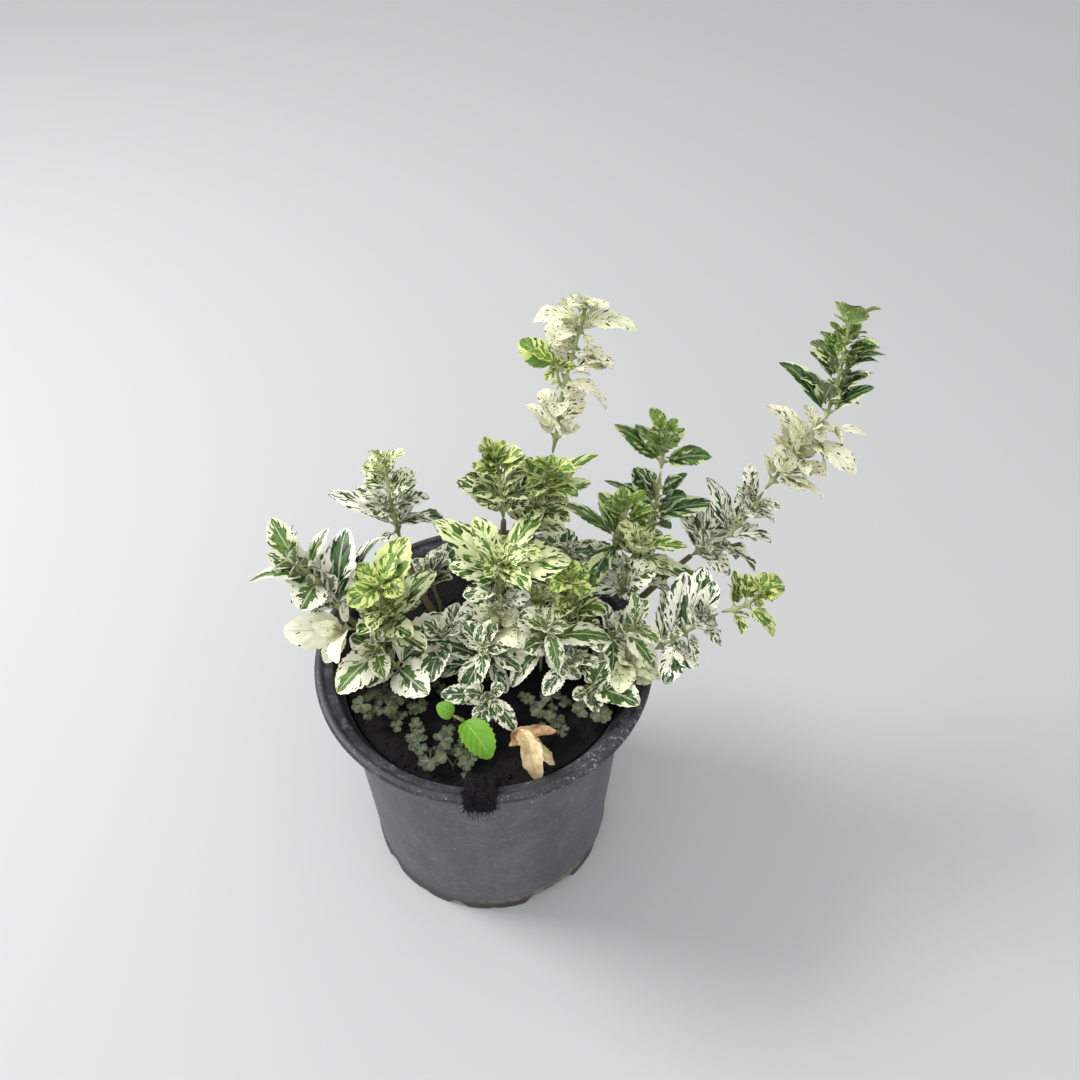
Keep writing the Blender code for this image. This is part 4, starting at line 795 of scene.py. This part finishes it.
def dry_finish(name, bright, shade):
    """Papery dead leaf with its veins standing out and darker scorched patches."""
    made, tree, shader = new_finish(name)
    uv = node(tree, "ShaderNodeUVMap", uv_map="blade")
    split = node(tree, "ShaderNodeSeparateXYZ")
    tree.links.new(uv.outputs["UV"], split.inputs[0])
    place = place_on_object(tree)
    patch = noise_value(tree, place, 190.0, 4.0, 0.65)
    grain = noise_value(tree, place, 1300.0, 3.0, 0.6)
    out = calc(tree, "ABSOLUTE", calc(tree, "SUBTRACT", split.outputs["X"], 0.5))
    veinwise = calc(tree, "SUBTRACT", split.outputs["Y"], calc(tree, "MULTIPLY", out, 0.60))
    ribs = calc(tree, "PINGPONG", calc(tree, "MULTIPLY", veinwise, 5.5), 0.5)
    side_rib = calc(tree, "SUBTRACT", 1.0, step_between(tree, ribs, 0.02, 0.10))
    midrib = calc(tree, "SUBTRACT", 1.0, step_between(tree, out, 0.012, 0.045))
    rib = calc(tree, "MAXIMUM", midrib, calc(tree, "MULTIPLY", side_rib, 0.45))
    colour = blend_colour(tree, step_between(tree, patch, 0.34, 0.62), shade, bright)
    colour = blend_colour(tree, calc(tree, "MULTIPLY", rib, 0.40), colour, shade)
    colour = blend_colour(tree, calc(tree, "MULTIPLY", step_between(tree, grain, 0.60, 0.72), 0.30), colour, shade)
    tree.links.new(colour, shader.inputs["Base Color"])
    shader.inputs["Roughness"].default_value = 0.75
    bump(tree, shader, calc(tree, "ADD", grain, calc(tree, "MULTIPLY", rib, 0.8)), 0.6, 0.0006)
    return made


# ---------------------------------------------------------------- woody stems, clover, fallen leaves

def build_stem(name, finish):
    cage = joined_copy(name)
    bmesh.ops.join_triangles(
        cage,
        faces=cage.faces,
        angle_face_threshold=math.radians(40),
        angle_shape_threshold=math.radians(80),
    )
    bmesh.ops.subdivide_edges(cage, edges=cage.edges, cuts=1, use_grid_fill=True)
    for vert in cage.verts:
        vert.co += vert.normal * 0.0004 * noise.noise(vert.co * 320.0)
    stem = add_piece(name.replace("stem_", "wood_"), cage, finish, [name])
    add_subdivision(stem, 2)


def leaflet_template():
    """Flat heart-shaped leaflet with its notch at the far end."""
    bm = bmesh.new()
    bmesh.ops.create_grid(bm, x_segments=4, y_segments=5, size=1.0)
    layer = bm.loops.layers.uv.new("blade")
    for face in bm.faces:
        for loop in face.loops:
            loop[layer].uv = (loop.vert.co.x / 2 + 0.5, loop.vert.co.y / 2 + 0.5)
    for vert in bm.verts:
        along = (vert.co.y + 1.0) / 2
        out = abs(vert.co.x)
        half = 0.08 + 0.55 * math.sin(math.pi * min(along * 0.74, 1.0)) ** 0.9
        notch = 0.13 * along ** 4 * (1.0 - 2.2 * abs(out - 0.55))
        vert.co = (vert.co.x * half, along * 0.98 + notch, 0.10 * out * half)
    mesh = bpy.data.meshes.new("leaflet_template")
    bm.to_mesh(mesh)
    bm.free()
    return mesh


def is_hub(vert):
    """True for the small point in the middle of three clover leaflets."""
    edges = [edge.calc_length() for edge in vert.link_edges]
    return is_point(vert, 240.0) and max(edges) < 0.0009


def lay_leaflet(bm, template, root, ahead, size, tilt):
    """Lay the flat leaflet from its root in a direction."""
    top = (UP - ahead * ahead.z).normalized()
    side = ahead.cross(top)
    count = len(bm.verts)
    bm.from_mesh(template)
    bm.verts.ensure_lookup_table()
    for point in bm.verts[count:]:
        x, y, z = point.co * size
        point.co = root + side * x + ahead * y + top * (z + tilt * y * 0.6)


def add_trefoil(bm, hub, template, source):
    """Small young clover leaf on a thin stalk, a little lower than its older neighbour."""
    root = hub + polar(source.uniform(0.0050, 0.0120), source.uniform(0, 360), -source.uniform(0.0010, 0.0035))
    if math.hypot(root.x, root.y) > CLOVER_REACH:
        return
    turn = source.uniform(0, 360)
    size = source.uniform(*YOUNG_LEAFLET)
    for third in (0, 120, 240):
        ahead = polar(1.0, turn + third, source.uniform(-0.15, 0.20)).normalized()
        lay_leaflet(bm, template, root, ahead, size * source.uniform(0.85, 1.1), source.uniform(-0.2, 0.2))
    add_strand(bm, root + UP * 0.0002, -UP, 0.00022, 0.0022, 3, source)


def build_clover(name, template, finish):
    source = random.Random(name)
    cage = joined_copy(name)
    tips = []
    for vert in cage.verts:
        if is_point(vert, 285.0):
            ring = split_ring(neighbours(vert))
            reach = [(corner.co - vert.co).length for corner in ring[1]]
            if width_of(ring[1]) > 2.2 * width_of(ring[0]) and abs(reach[0] - reach[1]) < 0.05 * reach[0]:
                tips.append((vert, ring))
    hubs = [vert.co.copy() for vert in cage.verts if is_hub(vert)]
    bm = bmesh.new()
    spent = []
    for vert, ring in tips:
        behind = ring_behind(ring, {vert, *ring[0], *ring[1]})
        root = min(hubs, key=lambda hub: (hub - vert.co).length)
        ahead = (vert.co - root).normalized()
        size = (vert.co - root).length * source.uniform(0.66, 0.82)
        lay_leaflet(bm, template, root, ahead, size, source.uniform(-0.25, 0.15))
        spent += [vert] + ring[0] + ring[1] + behind[0] + behind[1]
    for hub in hubs:
        for _ in range(3):
            add_trefoil(bm, hub, template, source)
    add_piece(name + "_leaflets", bm, finish, [name])
    bmesh.ops.delete(cage, geom=spent, context="VERTS")
    holes = [edge for edge in cage.edges if edge.is_boundary]
    bmesh.ops.holes_fill(cage, edges=holes, sides=4)
    cage.loops.layers.uv.new("blade")
    stalks = add_piece(name + "_stalks", cage, finish, [name])
    add_subdivision(stalks, 1)


def build_fallen(name, template, finish, blades):
    """Crumpled dry leaf: toothed blades given by root, tip and width as shares of the solid's box."""
    source = random.Random(name)
    low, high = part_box(name)
    size = high - low
    bm = bmesh.new()
    bm.verts.layers.float_color.new("leaf_kind")
    for start, end, width, arch, fold in blades:
        root = low + Vector([share * span for share, span in zip(start, size)])
        tip = low + Vector([share * span for share, span in zip(end, size)])
        ahead = (tip - root).normalized()
        side = ahead.cross(UP).normalized()
        top = side.cross(ahead)
        centres = [root.lerp(tip, share) + top * arch * math.sin(math.pi * share) for share in SECTIONS]
        lean = side * source.uniform(-0.35, 0.35)
        leaf = Leaf(centres, width * size.x / 2, (top + lean).normalized(), (top - lean).normalized())
        habit = leaf_habit(source, 2.0)
        habit["fold"] = fold
        habit["wave"] = 0.30
        add_blade(bm, leaf, template, (0.5, 0.5, 0.5, 1.0), habit)
    for vert in bm.verts:
        crease = noise.noise_vector(vert.co * 210.0) * 0.0011 + noise.noise_vector(vert.co * 560.0) * 0.0007
        vert.co += crease
        vert.co.z = max(vert.co.z, low.z + 0.0004)
    piece = add_piece(name + "_curled", bm, finish, [name])
    thickness = piece.modifiers.new("thickness", "SOLIDIFY")
    thickness.thickness = 0.00025
    thickness.offset = 0.0
    add_subdivision(piece, 1)


# ---------------------------------------------------------------- pot and soil

def pot_profile(radius, height):
    body = radius - RIM_BAND - THROAT + WALL
    foot = body - TAPER + 0.0004
    inner = radius - RIM_BAND
    under = height - LIP_HEIGHT
    ledge = height - 0.0100
    floor = FOOT_HEIGHT + WALL

    def outside(z):
        return body - TAPER * (1 - (z - FOOT_HEIGHT) / (height - FOOT_HEIGHT))

    profile = [
        (0.0, 0.0), (0.040, 0.0), (0.0430, FOOT_HEIGHT), (foot - FOOT_WIDTH - 0.0015, FOOT_HEIGHT),
        (foot - FOOT_WIDTH, 0.0040), (foot - FOOT_WIDTH, 0.0002), (foot - FOOT_WIDTH + 0.0002, 0.0),
        (foot - 0.0003, 0.0), (foot, 0.0003), (foot + 0.0001, 0.0030), (foot + 0.0002, FOOT_HEIGHT - 0.0008),
        (foot, FOOT_HEIGHT - 0.0001), (outside(FOOT_HEIGHT) - 0.0003, FOOT_HEIGHT + 0.0004),
        (outside(FOOT_HEIGHT) - 0.0003, FOOT_HEIGHT + 0.0014), (outside(FOOT_HEIGHT + 0.0035), FOOT_HEIGHT + 0.0035),
    ]
    profile += [(outside(z), z) for z in (0.016, 0.03, 0.06, 0.09, 0.12, ledge - 0.0016)]
    profile += [
        (outside(ledge) + 0.0001, ledge - 0.0006), (outside(ledge) + 0.0006, ledge - 0.0001),
        (outside(ledge) + 0.0009, ledge + 0.0006), (outside(ledge) + 0.0012, ledge + 0.0016),
        (inner + WALL + 0.0004, under - 0.0012), (inner + WALL + 0.0010, under - 0.0004),
        (radius - 0.0020, under - 0.0001), (radius - 0.0009, under + 0.0001),
        (radius - 0.0003, under + 0.0006), (radius, under + 0.0014), (radius, under + 0.0022),
        (radius - 0.0003, height - 0.0011), (radius - 0.0009, height - 0.0006), (radius - 0.0016, height - 0.0003),
        (radius - 0.0024, height - 0.0001), (radius - 0.0031, height), (radius - 0.0038, height - 0.0003),
        (radius - 0.0043, height - 0.0009), (radius - 0.0048, height - 0.0016), (radius - 0.0056, height - 0.0020),
        (inner + 0.0014, height - 0.0026), (inner + 0.0006, height - 0.0031), (inner + 0.0001, height - 0.0039),
        (inner - 0.0003, height - 0.0050), (outside(height - THROAT_DEPTH) - WALL, height - THROAT_DEPTH),
    ]
    profile += [(outside(z) - WALL, z) for z in (0.13, 0.10, 0.05, floor + 0.0022)]
    profile += [(outside(floor) - WALL - 0.0024, floor), (0.0442, floor), (0.0410, WALL), (0.0, WALL)]
    return profile


def arch_rise(heading):
    """How high the foot's lower edge is cut away at a heading."""
    best = 0.0
    for centre, width, share in ARCHES:
        off = abs((heading - centre + 180.0) % 360.0 - 180.0) - width / 2
        flank = min(max((ARCH_FLANK - off) / ARCH_FLANK / 2, 0.0), 1.0)
        best = max(best, share * flank * flank * (3 - 2 * flank))
    return best * (FOOT_HEIGHT - 0.0006)


def build_pot(finish):
    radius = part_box("pot")[1][0]
    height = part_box("pot")[1][2]
    bm = bmesh.new()
    spin_profile(bm, pot_profile(radius, height), POT_STEPS)
    for vert in bm.verts:
        flat = math.hypot(vert.co.x, vert.co.y)
        if vert.co.z < FOOT_HEIGHT - 0.0006 and flat > 0.060:
            heading = math.degrees(math.atan2(vert.co.y, vert.co.x))
            vert.co.z = max(vert.co.z, arch_rise(heading))
    add_piece("nursery_pot", bm, finish, ["pot"])


def build_soil(finish):
    """Rough soil surface, closed down to the bottom of the top layer."""
    tree = BVHTree.FromObject(NODES["potting_soil"], bpy.context.evaluated_depsgraph_get())
    low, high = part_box("potting_soil")
    reach = high[0]
    level = high[2] - 0.0025
    bm = bmesh.new()
    bmesh.ops.create_grid(bm, x_segments=SOIL_CELLS, y_segments=SOIL_CELLS, size=reach)
    outside = [vert for vert in bm.verts if vert.co.length > reach * 0.995]
    bmesh.ops.delete(bm, geom=outside, context="VERTS")
    for vert in bm.verts:
        hit = tree.ray_cast(Vector((vert.co.x, vert.co.y, level + 0.05)), -UP)[0]
        ground = hit.z if hit and hit.z > level - 0.006 else level - 0.001
        spot = Vector((vert.co.x, vert.co.y, 0.0))
        clod = noise.noise(spot * 190.0) * 0.0011
        crumb = abs(noise.noise(spot * 520.0)) * 0.0011 + noise.noise(spot * 1100.0) * 0.0004
        vert.co.z = ground + clod + crumb - 0.0002
    edge = [item for item in bm.edges if item.is_boundary]
    skirt = bmesh.ops.extrude_edge_only(bm, edges=edge)["geom"]
    for vert in skirt:
        if isinstance(vert, bmesh.types.BMVert):
            flat = Vector((vert.co.x, vert.co.y, 0.0))
            flat = flat.normalized() * (reach - 0.0012)
            vert.co = Vector((flat.x, flat.y, low[2]))
    rim = [item for item in bm.edges if item.is_boundary]
    bmesh.ops.contextual_create(bm, geom=rim)
    bmesh.ops.recalc_face_normals(bm, faces=bm.faces)
    add_piece("soil_surface", bm, finish, ["potting_soil"])
    return tree, level


def add_lump(bm, centre, size, source):
    made = bmesh.ops.create_icosphere(bm, subdivisions=1, radius=size)["verts"]
    squash = Vector((source.uniform(0.6, 1.3), source.uniform(0.6, 1.3), source.uniform(0.4, 0.9)))
    for vert in made:
        vert.co = Vector((vert.co.x * squash.x, vert.co.y * squash.y, vert.co.z * squash.z)) * source.uniform(0.75, 1.2)
        vert.co += centre


def add_strand(bm, start, heading, size, step, count, source, droop=0.0):
    """Thin three-sided strand of short steps that wander, and bend down by droop at each step."""
    section = bmesh.ops.create_circle(bm, segments=3, radius=size, cap_ends=True)["verts"]
    turn = heading.to_track_quat("Z", "X").to_matrix()
    for vert in section:
        vert.co = start + turn @ vert.co
    ring = section
    for _ in range(count):
        face = next(face for face in ring[0].link_faces if all(vert in face.verts for vert in ring))
        made = bmesh.ops.extrude_discrete_faces(bm, faces=[face])["faces"][0]
        wander = Vector([source.uniform(-0.3, 0.3) for _ in range(3)])
        heading = (heading - UP * droop + wander).normalized()
        bmesh.ops.translate(bm, verts=made.verts, vec=heading * step)
        ring = list(made.verts)


def add_fibre(bm, start, source):
    """Fine root fibre that bends over and hangs down."""
    outward = Vector((start.x, start.y, 0.0)).normalized()
    drift = Matrix.Rotation(math.radians(source.uniform(-75, 75)), 3, UP) @ outward
    size = source.uniform(0.00008, 0.00015)
    step = source.uniform(0.0007, 0.0017)
    heading = (drift + UP * source.uniform(-0.8, 0.9)).normalized()
    add_strand(bm, start - drift * 0.001, heading, size, step, 4, source, 0.35)


def build_crumbs(tree, level, finish):
    source = random.Random(11)
    bm = bmesh.new()
    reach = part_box("potting_soil")[1][0] - 0.0015
    for _ in range(CRUMBS):
        radius = reach * math.sqrt(source.random())
        spot = polar(radius, source.uniform(0, 360), level + 0.05)
        hit = tree.ray_cast(spot, -UP)[0]
        if hit is None or hit.z < level - 0.006:
            continue
        size = 0.0004 + 0.0011 * source.random() ** 3
        add_lump(bm, hit + UP * size * 0.3, size, source)
    add_piece("soil_crumbs", bm, finish, ["potting_soil"], smooth=False)


def shape_spill(cage):
    """Round the spilled clump off, narrower and ragged towards its hanging end."""
    low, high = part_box("soil_spill")
    centre = (low + high) / 2
    heading = math.atan2(centre.y, centre.x)
    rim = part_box("pot")[1][2]
    reach = [math.hypot(vert.co.x, vert.co.y) for vert in cage.verts]
    inner, outer = min(reach), max(reach)
    for vert in cage.verts:
        flat = math.hypot(vert.co.x, vert.co.y)
        off = math.atan2(vert.co.y, vert.co.x) - heading
        share = (flat - inner) / (outer - inner)
        ragged = 1.0 + 0.22 * noise.noise(Vector((vert.co.z * 260.0, share * 5.0, 3.0)))
        turn = heading + off * SPILL_WIDTH * (1.0 - 0.22 * share * share) * ragged
        height = vert.co.z
        if height < rim - SPILL_HANG:
            height = rim - SPILL_HANG + (height - rim + SPILL_HANG) * (0.42 + 0.30 * noise.noise(vert.co * 300.0))
        vert.co = Vector((flat * math.cos(turn), flat * math.sin(turn), height))
    for _ in range(3):
        bmesh.ops.smooth_vert(
            cage,
            verts=cage.verts,
            factor=0.5,
            use_axis_x=True,
            use_axis_y=True,
            use_axis_z=True,
        )
    cage.normal_update()


def build_spill(finish):
    source = random.Random(5)
    cage = joined_copy("soil_spill")
    bmesh.ops.subdivide_edges(cage, edges=cage.edges, cuts=5, use_grid_fill=True)
    shape_spill(cage)
    for vert in cage.verts:
        rough = abs(noise.noise(vert.co * 800.0)) * 0.0012 + abs(noise.noise(vert.co * 260.0)) * 0.0012
        vert.co += noise.noise_vector(vert.co * 420.0) * 0.0007 + vert.normal * (rough - 0.0003)
    cage.normal_update()
    surface = [vert.co.copy() for vert in cage.verts if vert.normal.z > -0.3]
    add_piece("spilled_soil", cage, finish, ["soil_spill"])
    bm = bmesh.new()
    for _ in range(420):
        centre = source.choice(surface)
        add_lump(bm, centre, 0.0003 + 0.0008 * source.random() ** 2, source)
    for _ in range(320):
        add_fibre(bm, source.choice(surface), source)
    add_piece("spilled_crumbs", bm, finish, ["soil_spill"], smooth=False)


# ---------------------------------------------------------------- stage

def build_stage():
    bm = bmesh.new()
    bmesh.ops.create_grid(bm, x_segments=2, y_segments=2, size=3.0)
    mesh = bpy.data.meshes.new("floor")
    bm.to_mesh(mesh)
    bm.free()
    floor = bpy.data.objects.new("floor", mesh)
    bpy.context.scene.collection.objects.link(floor)
    made, tree, shader = new_finish("pale_floor")
    shader.inputs["Base Color"].default_value = srgb(196, 197, 197)
    shader.inputs["Roughness"].default_value = 0.9
    mesh.materials.append(made)


def add_area(name, place, target, size, power):
    lamp = bpy.data.lights.new(name, "AREA")
    lamp.size = size
    lamp.energy = power
    holder = bpy.data.objects.new(name, lamp)
    holder.location = place
    aim = Vector(target) - Vector(place)
    holder.rotation_euler = aim.to_track_quat("-Z", "Y").to_euler()
    bpy.context.scene.collection.objects.link(holder)


def build_lights():
    add_area("window_light", (-0.95, 0.30, 1.10), (0.0, 0.0, 0.12), 0.50, 15.0)
    add_area("room_fill", (0.2, -1.0, 1.2), (0.0, 0.0, 0.1), 1.6, 6.0)
    world = bpy.data.worlds.new("soft_room")
    world.use_nodes = True
    world.node_tree.nodes["Background"].inputs["Color"].default_value = (0.98, 0.99, 1.0, 1.0)
    world.node_tree.nodes["Background"].inputs["Strength"].default_value = 0.72
    bpy.context.scene.world = world
    bpy.context.scene.view_settings.view_transform = "Standard"


def build_camera():
    yaw = math.radians(4.08)
    pitch = math.radians(47.39)
    roll = math.radians(0.62)
    ahead = Vector((math.sin(yaw) * math.cos(pitch), math.cos(yaw) * math.cos(pitch), -math.sin(pitch)))
    level = Vector((math.cos(yaw), -math.sin(yaw), 0.0))
    above = level.cross(ahead)
    right = level * math.cos(roll) + above * math.sin(roll)
    top = above * math.cos(roll) - level * math.sin(roll)
    lens = bpy.data.cameras.new("camera")
    lens.lens = 35.89
    lens.sensor_width = 36.0
    camera = bpy.data.objects.new("camera", lens)
    turn = Matrix((right, top, -ahead)).transposed().to_4x4()
    turn.translation = Vector((0.0041, -0.3269, 0.5887))
    camera.matrix_world = turn
    bpy.context.scene.collection.objects.link(camera)
    bpy.context.scene.camera = camera


# ---------------------------------------------------------------- whole scene

def main():
    pot_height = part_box("pot")[1][2]
    pattern = leaf_pattern_group()
    finishes = {name: leaf_finish(name, pattern) for name in LEAF_FINISHES}
    finishes["shoot"] = shoot_finish()
    bark = bark_finish()
    soil = soil_finish()
    clover = clover_finish()
    blades = (leaf_template("leaf_large", LEAF_ROWS), leaf_template("leaf_small", SMALL_ROWS))
    leaflet = leaflet_template()
    build_pot(pot_finish(pot_height))
    tree, level = build_soil(soil)
    build_crumbs(tree, level, soil)
    build_spill(soil)
    NODES["root_ball"].data.materials.clear()
    NODES["root_ball"].data.materials.append(soil)
    for name in sorted(NODES):
        if name.startswith("spray_"):
            build_shoot(name, blades, finishes)
        elif name.startswith("stem_"):
            build_stem(name, bark)
        elif name.startswith("clover_"):
            build_clover(name, leaflet, clover)
    tan = dry_finish("dry_tan", srgb(232, 214, 168), srgb(196, 164, 112))
    brown = dry_finish("dry_brown", srgb(196, 168, 124), srgb(138, 84, 54))
    build_fallen("dry_leaf_tan", blades[0], tan, TAN_BLADES)
    build_fallen("dry_leaf_brown", blades[0], brown, BROWN_BLADES)
    build_stage()
    build_lights()
    build_camera()


main()
